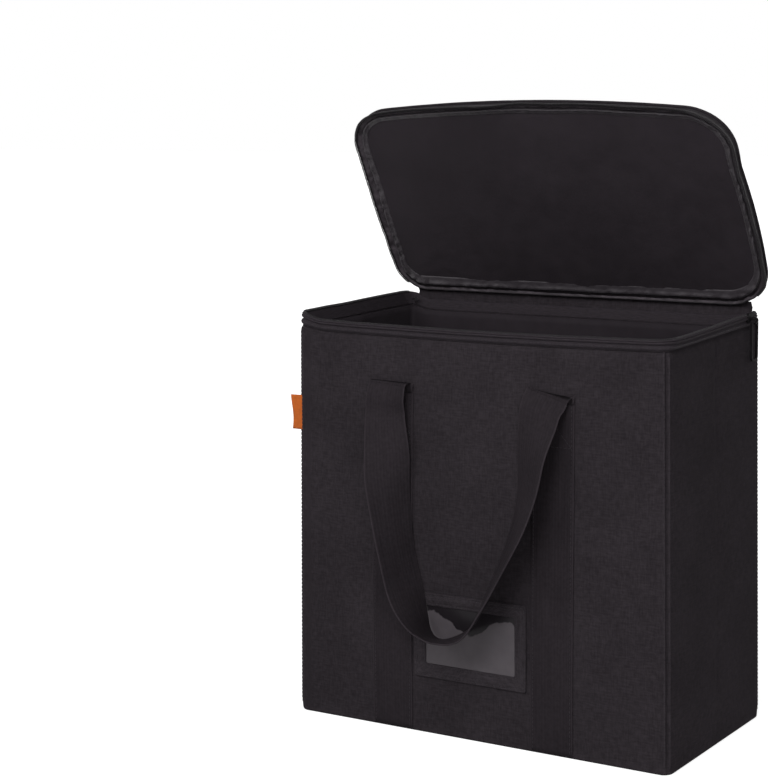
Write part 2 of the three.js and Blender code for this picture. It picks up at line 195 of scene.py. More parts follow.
def dress(piece, body, slot, *replaced):
    """Says which body a piece rides on and which CAD nodes it stands for. Its slot, the finish that it
    would take, is not used.
    """
    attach(piece, body)
    if replaced:
        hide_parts(*replaced)


# Materials
class Shader:
    """One node material, with short forms for the nodes that it needs."""

    def __init__(self, name, roughness, specular, sheen=0.0):
        self.material = bpy.data.materials.new(name)
        self.material.use_nodes = True
        self.tree = self.material.node_tree
        self.base = self.tree.nodes["Principled BSDF"]
        self.base.inputs["Roughness"].default_value = roughness
        self.base.inputs["Specular IOR Level"].default_value = specular
        self.base.inputs["Sheen Weight"].default_value = sheen
        self.base.inputs["Sheen Roughness"].default_value = 0.45

    def feed(self, socket, source):
        if isinstance(source, bpy.types.NodeSocket):
            self.tree.links.new(source, socket)
        else:
            socket.default_value = source

    def node(self, kind, sources, **settings):
        made = self.tree.nodes.new(kind)
        for key, value in settings.items():
            setattr(made, key, value)
        for place, source in sources.items():
            self.feed(made.inputs[place], source)
        return made

    def math(self, operation, first, second=0.0):
        made = self.node("ShaderNodeMath", {0: first, 1: second}, operation=operation)
        return made.outputs[0]

    def product(self, first, *others):
        for other in others:
            first = self.math("MULTIPLY", first, other)
        return first

    def wear_and_painted_light(self):
        """The mesh's marks, 0 where it gives none: real wear on the case's seam ridges and foot, the
        hinge strip a little lighter, lighter webbing selvedges, painted highlights on the lid tape's inner
        face and painted shade on the tops of the handles' folds.
        """
        return self.node("ShaderNodeAttribute", {}, attribute_name="wear_and_painted_light").outputs["Fac"]

    def cloth_uv(self):
        return self.node("ShaderNodeUVMap", {}, uv_map="cloth").outputs[0]

    def place(self):
        return self.node("ShaderNodeTexCoord", {}).outputs["Object"]

    def stretched(self, coords, scale):
        sources = {"Vector": coords, "Scale": scale}
        return self.node("ShaderNodeMapping", sources).outputs[0]

    def noise(self, coords, scale, detail=2.0, roughness=0.5):
        sources = {"Vector": coords, "Scale": scale, "Detail": detail, "Roughness": roughness}
        return self.node("ShaderNodeTexNoise", sources).outputs["Fac"]

    def ramp(self, value, low, high, to_low=0.0, to_high=1.0):
        sources = {0: value, 1: low, 2: high, 3: to_low, 4: to_high}
        made = self.node("ShaderNodeMapRange", sources, interpolation_type="SMOOTHSTEP")
        return made.outputs[0]

    def vary(self, value, to_low, to_high):
        """A noise spread to run from one value to another."""
        return self.ramp(value, 0.3, 0.7, to_low, to_high)

    def mix(self, share, first, second):
        sources = {0: share, 6: first, 7: second}
        made = self.node("ShaderNodeMix", sources, data_type="RGBA")
        return made.outputs[2]

    def tint(self, colour, factor):
        """The colour times a grey factor."""
        made = self.node("ShaderNodeVectorMath", {0: colour[:3]}, operation="SCALE")
        self.feed(made.inputs[3], factor)
        return made.outputs[0]

    def bump(self, height, distance, strength=1.0, under=None):
        sources = {"Height": height, "Distance": distance, "Strength": strength}
        if under is not None:
            sources["Normal"] = under
        return self.node("ShaderNodeBump", sources).outputs[0]

    def finished(self, colour, normal, roughness=None):
        self.feed(self.base.inputs["Base Color"], colour)
        self.feed(self.base.inputs["Normal"], normal)
        if roughness is not None:
            self.feed(self.base.inputs["Roughness"], roughness)
        return self.material

    def waves(self, coords, pitch):
        """|sin| along U and along V, and their product with signs, for a weave."""
        split = self.node("ShaderNodeSeparateXYZ", {0: coords})
        sines = [
            self.math("SINE", self.product(split.outputs[axis], math.pi / pitch)) for axis in (0, 1)
        ]
        over = self.product(*sines)
        return self.math("ABSOLUTE", sines[0]), self.math("ABSOLUTE", sines[1]), over


def weave_height(shader, coords, pitch):
    """Height of a plain weave, from 0 to 1: warp over weft and weft over warp by turns."""
    warp, weft, over = shader.waves(coords, pitch)
    warp_share = shader.ramp(over, -0.6, 0.6)
    weft_share = shader.math("SUBTRACT", 1.0, warp_share)
    return shader.math("ADD", shader.product(warp, warp_share), shader.product(weft, weft_share))


def slubs(shader, coords, thread, run):
    """Uneven threads both ways, about 0.5 in the middle."""
    down = shader.noise(shader.stretched(coords, (1 / thread, 1 / run, 1)), 1.0, 2.0)
    across = shader.noise(shader.stretched(coords, (1 / run, 1 / thread, 1)), 1.0, 2.0)
    return shader.product(shader.math("ADD", down, across), 0.5)


def cloth_material(name, colour, pitch, grain, roughness, specular, sheen, worn=True):
    """Woven cloth: weave, slubs, broad unevenness and, where the mesh says so, worn edges."""
    shader = Shader(name, roughness, specular, sheen)
    uv = shader.cloth_uv()
    weave = weave_height(shader, uv, pitch)
    threads = slubs(shader, uv, 0.0014, 0.0080)
    mottle = shader.noise(uv, 1 / 0.0045, 3.0, 0.6)
    broad = shader.noise(shader.place(), 1 / 0.055, 4.0, 0.6)
    factor = shader.product(
        shader.vary(threads, 1 - grain, 1 + grain),
        shader.ramp(mottle, 0.25, 0.75, 0.90, 1.10),
        shader.vary(broad, 0.90, 1.10),
        shader.ramp(weave, 0.0, 0.8, 0.86, 1.06),
    )
    if worn:
        rubbed_and_highlight = shader.product(shader.wear_and_painted_light(), shader.ramp(mottle, 0.35, 0.65, 0.3, 1.0), 0.55)
        factor = shader.math("ADD", factor, rubbed_and_highlight)
    fine = shader.bump(weave, 0.00012, 0.8)
    coarse = shader.bump(threads, 0.00025, 0.6, fine)
    folds = shader.bump(shader.noise(shader.place(), 1 / 0.02, 2.0), 0.0006, 0.5, coarse)
    rough = shader.vary(threads, roughness - 0.07, roughness + 0.06)
    return shader.finished(shader.tint(colour, factor), folds, rough)


def webbing_material(name, colour):
    """Heavy ribbed webbing, its ribs along V, with a fine weft across them."""
    shader = Shader(name, 0.7, 0.02)
    uv = shader.cloth_uv()
    ribs = shader.waves(uv, 0.0028)[0]
    weft = shader.waves(uv, 0.0009)[1]
    height = shader.math("ADD", ribs, shader.product(weft, 0.25))
    streak = shader.noise(shader.stretched(uv, (1 / 0.0024, 1 / 0.05, 1)), 1.0, 2.0)
    mottle = shader.noise(uv, 1 / 0.0035, 3.0, 0.6)
    broad = shader.noise(shader.place(), 1 / 0.05, 2.0)
    factor = shader.product(
        shader.vary(streak, 0.94, 1.06),
        shader.ramp(height, 0.0, 1.1, 0.92, 1.04),
        shader.vary(mottle, 0.90, 1.10),
        shader.vary(broad, 0.92, 1.08),
    )
    # Lighter along the selvedges, and darker along the tops of the handles' folds, where it is painted
    # shade, as the mesh marks them.
    factor = shader.math("ADD", factor, shader.product(shader.wear_and_painted_light(), 0.5))
    relief = shader.bump(height, 0.00012, 0.7)
    return shader.finished(shader.tint(colour, factor), relief, shader.vary(streak, 0.58, 0.74))


def smooth_cloth_material(name, colour, roughness, specular, sheen, crinkle):
    """Fine lining cloth with soft creases."""
    shader = Shader(name, roughness, specular, sheen)
    place = shader.place()
    broad = shader.noise(place, 1 / 0.06, 3.0, 0.55)
    creases = shader.noise(place, 1 / 0.012, 4.0, 0.6)
    weave = weave_height(shader, shader.cloth_uv(), 0.00035)
    factor = shader.product(
        shader.vary(broad, 0.9, 1.1),
        shader.vary(creases, 0.94, 1.06),
        shader.ramp(weave, 0.0, 0.8, 0.93, 1.03),
    )
    soft = shader.bump(creases, crinkle, 0.8, shader.bump(weave, 0.00005, 0.6))
    rough = shader.vary(creases, roughness - 0.06, roughness + 0.08)
    return shader.finished(shader.tint(colour, factor), soft, rough)


def tape_material(name, colour, roughness, specular, crinkle):
    """Zip tape: fine ribs across it, uneven, and, where the mesh says so, painted lighter with painted
    highlights on its creases.
    """
    shader = Shader(name, roughness, specular)
    uv = shader.cloth_uv()
    weft = shader.waves(uv, 0.0007)[1]
    slub = shader.noise(shader.stretched(uv, (1 / 0.006, 1 / 0.0012, 1)), 1.0, 2.0)
    creases = shader.noise(shader.place(), 1 / 0.008, 3.0)
    factor = shader.product(shader.vary(slub, 0.85, 1.15), shader.ramp(weft, 0.0, 1.0, 0.85, 1.08))
    # Painted highlights: where the mesh marks it, the creases are painted up to several times lighter.
    rubbed_and_highlight = shader.product(shader.wear_and_painted_light(), shader.ramp(creases, 0.35, 0.65, 1.5, 3.6))
    colour = shader.tint(colour, shader.math("ADD", factor, rubbed_and_highlight))
    soft = shader.bump(creases, crinkle, 0.5, shader.bump(weft, 0.00012, 0.8))
    return shader.finished(colour, soft, shader.vary(slub, roughness - 0.08, roughness + 0.08))


def plain_material(name, colour, roughness, specular, spread):
    """A moulded or painted surface with fine unevenness and rubbed patches."""
    shader = Shader(name, roughness, specular)
    place = shader.place()
    rubbed_and_highlight = shader.noise(place, 1 / 0.004, 4.0, 0.65)
    fine = shader.noise(place, 1 / 0.0007, 2.0)
    factor = shader.ramp(rubbed_and_highlight, 0.35, 0.75, 1 - spread, 1 + 2 * spread)
    rough = shader.vary(rubbed_and_highlight, roughness - 0.08, roughness + 0.1)
    return shader.finished(shader.tint(colour, factor), shader.bump(fine, 0.00005, 0.5), rough)


CLOTH_COLOUR = (0.0251, 0.0213, 0.0245)
LINING_COLOUR = (0.0208, 0.0170, 0.0204)
WEBBING_COLOUR = (0.0196, 0.0163, 0.0190)
POCKET_COLOUR = (0.0318, 0.0271, 0.0311)
TAPE_COLOUR = (0.0285, 0.0240, 0.0280)
# The lid's zip tape is the zip tape painted darker, painted shade on its outer face; its inner face is
# painted lighter.
LID_TAPE_SHADED_COLOUR = (0.0145, 0.0122, 0.0142)
BINDING_COLOUR = (0.0330, 0.0283, 0.0327)
TEETH_COLOUR = (0.014, 0.012, 0.014)
THREAD_COLOUR = (0.027, 0.023, 0.027)
TAG_COLOUR = (0.46, 0.105, 0.016)
BOARD_COLOUR = (0.25, 0.22, 0.18)
METAL_COLOUR = (0.009, 0.008, 0.009)
# The window film: a painted reflection's light grey, and the clear film's dark, which also stands for
# painted shade.
REFLECTION_PAINTED_COLOUR = (0.0750, 0.0665, 0.0735)
CLEAR_AND_SHADED_COLOUR = (0.013, 0.011, 0.013)

cloth = cloth_material("outer_cloth", CLOTH_COLOUR, 0.0007, 0.20, 0.8, 0.012, 0.0)
pocket_cloth = cloth_material("pocket_cloth", POCKET_COLOUR, 0.0007, 0.28, 0.78, 0.02, 0.0, False)
tag_cloth = cloth_material("tag_cloth", TAG_COLOUR, 0.0005, 0.08, 0.7, 0.15, 0.02, False)
lining = smooth_cloth_material("lining_cloth", LINING_COLOUR, 0.66, 0.06, 0.02, 0.0006)
webbing = webbing_material("webbing", WEBBING_COLOUR)
tape = tape_material("zip_tape", TAPE_COLOUR, 0.7, 0.03, 0.0006)
lid_edge_tape = tape_material("lid_zip_tape", LID_TAPE_SHADED_COLOUR, 0.46, 0.2, 0.0016)
binding = smooth_cloth_material("seam_binding", BINDING_COLOUR, 0.4, 0.25, 0.05, 0.0014)
teeth = plain_material("zip_teeth", TEETH_COLOUR, 0.45, 0.22, 0.1)
thread = plain_material("sewing_thread", THREAD_COLOUR, 0.6, 0.12, 0.1)
metal = plain_material("zip_metal", METAL_COLOUR, 0.6, 0.04, 0.25)
board = plain_material("stiffener", BOARD_COLOUR, 0.85, 0.2, 0.1)


# Outlines of the case
def stations(front_steps, side_steps, corner_marks, side_marks=()):
    """Places round a rounded rectangle, anticlockwise from the front left corner: the side of the
    inner rectangle that each belongs to as (cx, cy) from -1 to 1, and its way out (nx, ny)."""
    rows = []
    fronts = np.linspace(-1, 1, front_steps + 1)[1:-1]
    sides = sorted(set(np.linspace(-1, 1, side_steps + 1)[1:-1]) | set(side_marks))
    corners = [(1, -1, -90), (1, 1, 0), (-1, 1, 90), (-1, -1, 180)]
    flats = [(fronts, (1, 0), (0, -1)), (sides, (0, 1), (1, 0))]
    flats += [(fronts, (-1, 0), (0, 1)), (sides, (0, -1), (-1, 0))]
    for (shares, along, out), (cx, cy, start) in zip(flats, corners):
        for share in shares:
            rows.append((share * along[0] + out[0], share * along[1] + out[1], *out))
        for mark in corner_marks:
            angle = math.radians(start + 90 * mark)
            rows.append((cx, cy, math.cos(angle), math.sin(angle)))
    return np.array(rows)


def outline(places, half_width, half_depth, radius):
    cx, cy, nx, ny = places.T
    x = cx * (half_width - radius) + nx * radius
    y = cy * (half_depth - radius) + ny * radius
    return np.stack([x, y], -1)


def half_width_at(z):
    share = np.clip(z / SEAM_HEIGHT, 0, 1)
    return HALF_WIDTH_FOOT + (HALF_WIDTH_TOP - HALF_WIDTH_FOOT) * share


def half_depth_at(z):
    share = np.clip(z / SEAM_HEIGHT, 0, 1)
    return HALF_DEPTH_FOOT + (HALF_DEPTH_TOP - HALF_DEPTH_FOOT) * share


def rim_sag(x, y):
    """How far the top edge hangs down in the middle of the front, less its rise at some corners."""
    front = np.clip(-y / HALF_DEPTH_TOP, 0, 1) ** 2
    sag = RIM_SAG * front * np.clip(1 - (x / HALF_WIDTH_TOP) ** 2, 0, 1)
    rise = smooth(-0.145, -HALF_WIDTH_TOP, x) * (0.0033 + 0.0013 * smooth(-0.08, 0.09, y))
    rise = rise + 0.0030 * smooth(0.140, HALF_WIDTH_TOP, x) * smooth(-0.09, 0.09, y)
    return sag - rise


def bow_up(z):
    """From 0 at the floor and at the seam to 1 half way up."""
    return np.sin(np.pi * np.clip(z / SEAM_HEIGHT, 0, 1))


def front_swell(x, z):
    """How far the front and back panels stand out from flat."""
    inside = np.clip(1 - (x / HALF_WIDTH_TOP) ** 4, 0, 1) * bow_up(z)
    return 0.0004 * inside + 0.00022 * ripple(x, z, 0.05, 3.1) * inside


def side_swell(y, z, seed):
    """How far a side panel stands out, with its folding crease down the middle."""
    inside = np.clip(1 - (y / HALF_DEPTH_FOOT) ** 4, 0, 1) * np.clip(bow_up(z), 0, 1) ** 0.5
    fade = 0.25 + 0.75 * smooth(0.22, 0.29, z)
    crease = bell(y, 0.0, 0.0035) * fade * smooth(0.0, 0.06, z)
    tent = np.exp(-np.abs(y) / 0.03) * fade
    swell = (0.0010 + 0.0004 * ripple(y, z, 0.045, seed) - 0.0006 * tent) * inside
    return swell - 0.0011 * crease


CORNER_ARC = WALL_RADIUS * math.pi / 2
SEAM_STEPS = [0.35, 0.7, 1.1, 1.5, 1.9, 2.3, 2.7, 3.2, 3.8, 4.6, 5.6, 6.8]
CREASE_STEPS = [0.7, 1.5, 2.5, 3.5, 5, 7]


def wall_stations():
    """Places round the wall, close together at the corner seams and at the sides' creases."""
    seam = np.array(SEAM_STEPS) / 1000 / CORNER_ARC
    corner_marks = np.concatenate([[0.0], 0.5 - seam[::-1], [0.5], 0.5 + seam, [1.0]])
    crease = np.array(CREASE_STEPS)
    crease_marks = np.concatenate([-crease[::-1], [0.0], crease]) / 1000 / HALF_DEPTH_TOP
    return stations(84, 46, corner_marks, crease_marks)


wall_places = wall_stations()


def seam_ridge(places):
    """Standing ridges either side of the groove down each upright corner."""
    nx, ny = places[:, 2], places[:, 3]
    angle = np.arctan2(np.minimum(abs(nx), abs(ny)), np.maximum(abs(nx), abs(ny)))
    from_middle = (math.pi / 4 - angle) * WALL_RADIUS
    in_corner = (abs(places[:, 0]) >= 1 - 1e-9) & (abs(places[:, 1]) >= 1 - 1e-9)
    ridge = 0.0009 * bell(from_middle, 0.0021, 0.0008) - 0.0007 * bell(from_middle, 0.0, 0.0007)
    return np.where(in_corner, ridge, 0.0)


def wall_ring(places, z, inset=0.0, ridges=True):
    """The case's wall at one height, as points in the row frame."""
    half_width, half_depth = half_width_at(z) - inset, half_depth_at(z) - inset
    ring = outline(places, half_width, half_depth, WALL_RADIUS - inset)
    x, y = ring.T
    on_front = abs(places[:, 3]) > 0.99
    on_side = abs(places[:, 2]) > 0.99
    swell = np.where(on_front, front_swell(x, z), 0.0)
    seeds = np.where(places[:, 2] > 0, 7.3, 11.9)
    swell = np.where(on_side, side_swell(y, z, seeds), swell)
    if ridges:
        swell = swell + seam_ridge(places) * smooth(0.0, 0.012, z)
    out = ring + places[:, 2:] * swell[:, None]
    height = z - rim_sag(x, y) * (z / SEAM_HEIGHT) ** 3
    return np.column_stack([out, np.broadcast_to(height, len(out))])


def shrunk(ring, share):
    """A ring drawn in towards a line along the middle of the case."""
    reach = HALF_WIDTH_TOP - HALF_DEPTH_TOP
    keep = np.clip(ring[:, 0], -reach, reach)
    return np.column_stack([keep + (ring[:, 0] - keep) * share, ring[:, 1] * share, ring[:, 2]])


def foot_rings(places, inset=0.0):
    """Rings from the middle of the bottom out and round the bottom edge."""
    rings = []
    middle = wall_ring(places, FOOT_RADIUS, inset, ridges=False)
    for share in (0.0, 0.2, 0.4, 0.6, 0.8, 0.92):
        ring = shrunk(middle, share)
        ring[:, 2] = inset + 0.0006 * (1 - share)
        rings.append(ring)
    for turn in (0, 15, 30, 45, 60, 75):
        angle = math.radians(turn)
        back = FOOT_RADIUS * (1 - math.sin(angle))
        ring = wall_ring(places, FOOT_RADIUS, inset, ridges=False)
        ring[:, :2] -= places[:, 2:] * back
        ring[:, 2] = inset + FOOT_RADIUS * (1 - math.cos(angle))
        rings.append(ring)
    return rings


# Marks that the materials read: real wear on some pieces, painted highlights and painted shade on others.
def wear_and_painted_light_marks(piece, amounts):
    attribute = piece.data.attributes.new("wear_and_painted_light", "FLOAT", "POINT")
    attribute.data.foreach_set("value", np.asarray(amounts, np.float32).ravel())


# Height and inset of the cloth where it turns in under the rim
SEAM_TUCK = [
    (0.3345, 0.0001), (0.3358, 0.0006), (0.3370, 0.0014), (0.3380, 0.0021), (0.3386, 0.0025),
]


def case_shell():
    rings = foot_rings(wall_places)
    rings += [wall_ring(wall_places, z) for z in np.linspace(FOOT_RADIUS, PANEL_TOP, 84)]
    rings += [wall_ring(wall_places, z, inset) for z, inset in SEAM_TUCK]
    shell = grid_piece("case_shell", rings, cloth, loop_columns=True)
    grid = np.array(rings)
    ridge = np.clip(seam_ridge(wall_places) / 0.0009, 0, 1)
    low = 0.4 * np.exp(-np.abs(grid[:, :, 2] - FOOT_RADIUS) / 0.003)
    wear_and_painted_light_marks(shell, np.clip(0.7 * ridge[None, :] + low, 0, 1))
    thicken(welded(shell), CLOTH)
    corners = [a + "_" + b + "_corner_seam" for a in ("front", "back") for b in ("left", "right")]
    panels = [side + "_cloth" for side in ("front", "back", "left", "right", "bottom")]
    dress(shell, "case", "outer_cloth", *panels, *corners)


inner_places = stations(60, 34, np.linspace(0, 1, 7))


def lining_ring(z):
    ring = wall_ring(inner_places, z, LINING_INSET, ridges=False)
    x, y = ring[:, 0], ring[:, 1]
    around = np.arctan2(y / HALF_DEPTH_TOP, x / HALF_WIDTH_TOP) * 0.16
    loose = 0.5 + 0.5 * ripple(around, np.full(len(x), z), 0.03, 21.7)
    fine = 0.5 + 0.5 * ripple(around * 3, np.full(len(x), z), 0.03, 5.2)
    inward = (0.0011 * loose + 0.0005 * fine) * smooth(0.004, 0.03, z)
    ring[:, :2] -= inner_places[:, 2:] * inward[:, None]
    return ring


def case_lining():
    base = lining_ring(LINING_FOOT)
    rings = [shrunk(base, share) for share in (0.0, 0.3, 0.6, 0.85, 1.0)]
    rings += [lining_ring(z) for z in np.linspace(LINING_FOOT + 0.002, LINING_TOP, 60)]
    inside = np.array(rings)[:, ::-1]
    skin = welded(grid_piece("case_lining", inside, lining, loop_columns=True))
    thicken(skin, 0.0006)
    sides = ("front", "back", "left", "right", "bottom")
    dress(skin, "case", "lining_cloth", *[side + "_lining" for side in sides])


def slab(name, near, far, material):
    """A closed slab between two like grids of points."""
    near, far = np.asarray(near), np.asarray(far)
    rows, columns = near.shape[:2]
    count = rows * columns
    points = np.concatenate([near.reshape(-1, 3), far.reshape(-1, 3)])
    faces = grid_faces(rows, columns)
    faces += [tuple(i + count for i in face[::-1]) for face in faces]
    rim = list(range(columns))
    rim += [i * columns + columns - 1 for i in range(1, rows)]
    rim += [(rows - 1) * columns + j for j in range(columns - 2, -1, -1)]
    rim += [i * columns for i in range(rows - 2, 0, -1)]
    for a, b in zip(rim, rim[1:] + rim[:1]):
        faces.append((b, a, a + count, b + count))
    across = lengths(near[0])
    along = lengths(near[:, 0])
    uvs = np.stack(np.meshgrid(across, along), -1).reshape(-1, 2)
    return mesh_piece(name, points, faces, material, np.concatenate([uvs, uvs]))


def wall_boards():
    sides = [("front", 3, -1), ("right", 2, 1), ("back", 3, 1), ("left", 2, -1)]
    for side, axis, sign in sides:
        chosen = inner_places[inner_places[:, axis] * sign > 0.99]
        levels = np.linspace(*BOARD_HEIGHTS, 12)
        faces = [[wall_ring(chosen, z, inset, ridges=False) for z in levels] for inset in BOARD_INSETS]
        made = slab(side + "_stiffener", *faces, board)
        dress(made, "case", "stiffener", side + "_board")


# Share of the way out, height from the middle in half thicknesses, and rounding of the edge
BASE_PROFILE = [
    (0.03, -1, 0.4), (0.5, -1, 0.4), (1, -1, 0.6), (1, -0.4, 0.0), (1, 0.5, 0.0),
    (1, 0.9, 0.4), (1, 1, 1.0), (0.9, 1.05, 1.0), (0.6, 1.0, 1), (0.03, 1, 1),
]


def base_panel():
    """The base board in its lining, a little uneven."""
    low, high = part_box("base_board")
    middle, half = (low + high) / 2, (high - low) / 2
    places = stations(24, 14, np.linspace(0, 1, 7))
    rings = []
    for share, height, back in BASE_PROFILE:
        ring = outline(places, half.x - 0.0012 * back, half.y - 0.0012 * back, 0.006) * share
        bumps = 0.0002 * ripple(ring[:, 0], ring[:, 1], 0.03, 2.2)
        rings.append(np.column_stack([ring, middle.z + height * half.z + bumps]))
    made = grid_piece("base_panel", rings, lining, loop_columns=True, caps=True)
    dress(made, "case", "lining_cloth", "base_board")


# Rim
rim_places = stations(90, 50, np.linspace(0, 1, 15))


def rim_ring(share, out=0.0):
    """The rim's outline: share 0 at the wall's seam, 1 at the zip."""
    radius = WALL_RADIUS + (RIM_RADIUS - WALL_RADIUS) * share
    half_width = HALF_WIDTH_TOP + (HALF_WIDTH_RIM - HALF_WIDTH_TOP) * share + out
    half_depth = HALF_DEPTH_TOP + (HALF_DEPTH_RIM - HALF_DEPTH_TOP) * share + out
    ring = outline(rim_places, half_width, half_depth, radius + out)
    x, y = ring.T
    stretch = 1 + 0.19 * np.clip(-rim_sag(x, y), 0, 1) / 0.003
    z = SEAM_HEIGHT + (RIM_TOP - SEAM_HEIGHT) * share * stretch - rim_sag(x, y)
    z = z + 0.0003 * ripple(x, y, 0.03, 9.4) * (1 - smooth(0.06, 0.085, y)) * share
    return np.column_stack([ring, z])


# Share of the rim's height and distance out, up the outside, over the roll and down the inside
RIM_PROFILE = [
    (-0.30, -0.0027), (-0.12, -0.0022), (0.02, -0.0014), (0.09, -0.0002), (0.15, 0.0007),
    (0.28, 0.0010), (0.40, 0.0009), (0.47, 0.0004), (0.52, -0.0003), (0.60, -0.0005),
    (0.65, 0.0001), (0.70, 0.0009), (0.78, 0.0013), (0.85, 0.0012), (0.88, 0.0005),
    (0.93, 0.0004), (0.96, 0.0010), (1.03, 0.0009), (1.10, 0.0), (1.08, -0.0012),
    (0.95, -0.0019), (0.5, -0.0021), (0.1, -0.0027), (-0.3, -0.0031),
]


def rim_band():
    """The zip tape round the rim: a flat band, a groove, then the roll over the coil."""
    rings = [rim_ring(share, out) for share, out in RIM_PROFILE]
    made = grid_piece("rim_band_tape", rings, tape, loop_columns=True, loop_rows=True)
    dress(made, "case", "zip_tape", "rim_band")


def tube(name, path, radius, material, sides=8, looped=False, squeeze=1.0, up=(0, 0, 1)):
    """A round cord along a path, its height squeezed, with caps at open ends."""
    path = np.asarray(path, float)
    count = len(path)
    if looped:
        ways = np.roll(path, -1, 0) - np.roll(path, 1, 0)
    else:
        ways = np.gradient(path, axis=0)
    ways /= np.linalg.norm(ways, axis=1)[:, None]
    across = np.cross(ways, np.array(up))
    across /= np.linalg.norm(across, axis=1)[:, None]
    lift = np.cross(across, ways)
    angles = np.linspace(0, 2 * np.pi, sides, endpoint=False)
    radii = np.broadcast_to(radius, count)[:, None, None]
    sideways = np.cos(angles)[None, :, None] * across[:, None]
    upward = squeeze * np.sin(angles)[None, :, None] * lift[:, None]
    grid = path[:, None] + radii * (sideways + upward)
    return grid_piece(name, grid, material, loop_rows=looped, loop_columns=True, caps=not looped)


def rim_piping():
    path = rim_ring(0.0, -0.0013)
    radius = 0.0007 + 0.0001 * ripple(path[:, 0], path[:, 1], 0.01, 1.1)
    made = tube("rim_piping", path, radius, cloth, looped=True, squeeze=0.95)
    dress(made, "case", "outer_cloth", "rim_seam_piping")


COIL_PITCH = 0.0013
COIL_STEPS = 8
COIL_HALF_WIDTH = 0.0011
COIL_HALF_HEIGHT = 0.0010
WIRE_RADIUS = 0.0004


def zip_stretch(ring, places):
    """The stretch from the middle of the back left corner, round the front, to the back right one."""
    along = list(range(len(ring)))
    back = [i for i in along if places[i, 1] > 0.99 and abs(places[i, 2]) < 0.72]
    first, last = max(back) + 1, min(back)
    return np.array([ring[i % len(ring)] for i in range(first, last + len(ring))])


def resample(path, step):
    """The same path at even distances."""
    run = lengths(path[:, :3])
    count = max(2, int(round(run[-1] / step)) + 1)
    marks = np.linspace(0, run[-1], count)
    return np.column_stack([np.interp(marks, run, path[:, k]) for k in range(path.shape[1])])


def coil(name, path, ways_out, way_up):
    """A spiral of nylon wire along the zip's edge."""
    both = resample(np.concatenate([path, ways_out], axis=1), COIL_PITCH / COIL_STEPS)
    turn = np.arange(len(both)) * 2 * math.pi / COIL_STEPS
    centre, out = both[:, :3], both[:, 3:]
    sideways = out * (COIL_HALF_WIDTH * np.cos(turn))[:, None]
    upward = np.array(way_up) * (COIL_HALF_HEIGHT * np.sin(turn))[:, None]
    return tube(name, centre + sideways + upward, WIRE_RADIUS, teeth, sides=5)


def rim_coil():
    low = rim_ring(1.02)
    path = zip_stretch(low, rim_places)
    ways_out = zip_stretch(np.column_stack([rim_places[:, 2:], np.zeros(len(low))]), rim_places)
    path = path + np.array([0, 0, 0.0005]) - ways_out * 0.0012
    made = coil("rim_coil", path, ways_out, (0, 0, 1))
    dress(made, "case", "zip_teeth", "rim_zip_teeth")


# Lid
def lid_axes():
    along = np.array([0, -math.cos(LID_OPENING), math.sin(LID_OPENING)])
    out = np.array([0, math.sin(LID_OPENING), math.cos(LID_OPENING)])
    return along, out


LID_ALONG, LID_OUT = lid_axes()


def lid_points(x, v, n):
    """Places on the lid: across, from the hinge to the front, and out of its top face."""
    x, v, n = np.broadcast_arrays(np.asarray(x, float), v, n)
    places = np.array(HINGE) + v[..., None] * LID_ALONG + n[..., None] * LID_OUT
    places[..., 0] += x
    return places


lid_places = stations(90, 50, np.linspace(0, 1, 15))
edge_places = stations(230, 120, np.linspace(0, 1, 27))


def lid_loop(inset, places=lid_places):
    """The lid's outline in its own plane, as (x, v), with its bowed front and bulging sides."""
    cx, cy, nx, ny = places.T
    weights = {corner: (1 + corner[0] * cx) * (1 + corner[1] * cy) / 4 for corner in LID_RADII}
    radius = sum(LID_RADII[corner] * weight for corner, weight in weights.items()) - inset
    middle_x, half_x = (LID_RIGHT + LID_LEFT) / 2, (LID_RIGHT - LID_LEFT) / 2 - inset
    middle_v, half_v = (LID_FRONT + LID_BACK) / 2, (LID_FRONT - LID_BACK) / 2 - inset
    in_corner = (abs(nx) < 0.9999) & (abs(ny) < 0.9999)
    x = np.where(in_corner, np.sign(cx) * (half_x - radius) + nx * radius, cx * (half_x - radius))
    y = np.where(in_corner, np.sign(cy) * (half_v - radius) + ny * radius, cy * (half_v - radius))
    x = np.where(abs(nx) >= 0.9999, np.sign(nx) * half_x, x) + middle_x
    v = middle_v - np.where(abs(ny) >= 0.9999, np.sign(ny) * half_v, y)
    right = 0.0052 * np.clip(1 - ((v - 0.058) / 0.075) ** 2, 0, 1) * smooth(0.10, 0.17, x)
    left = 0.0018 * np.clip(1 - ((v - 0.130) / 0.080) ** 2, 0, 1) * smooth(-0.10, -0.17, x)
    bow = LID_BOW * np.clip(1 - (x / 0.155) ** 2, 0, 1) + 0.004 * x
    return x + right - left, v + bow * smooth(0.10, 0.17, v)


def lid_dome(x, v):
    """How far the lid's cloth swells out from its board."""
    middle_x, half_x = (LID_RIGHT + LID_LEFT) / 2, (LID_RIGHT - LID_LEFT) / 2
    across = np.clip(1 - ((x - middle_x) / half_x) ** 2, 0, 1)
    middle = (LID_FRONT + LID_BACK) / 2
    along = np.clip(1 - ((v - middle) / (middle - LID_BACK)) ** 2, 0, 1)
    return across**0.5 * along**0.5


def shrink_rings(ring, height_of, shares):
    """Rings that shrink to a line across the middle of the lid."""
    x, v = ring
    middle_v = (LID_FRONT + LID_BACK) / 2
    across = (LID_RIGHT + LID_LEFT) / 2 + lid_places[:, 0] * (LID_RIGHT - LID_LEFT) / 2
    keep_x = np.clip(across, LID_LEFT + middle_v, LID_RIGHT - middle_v)
    rings = []
    for share in shares:
        xs = keep_x + (x - keep_x) * share
        vs = middle_v + (v - middle_v) * share
        rings.append(lid_points(xs, vs, height_of(xs, vs)))
    return rings


DISC_SHARES = np.linspace(1.0, 0.0, 36)


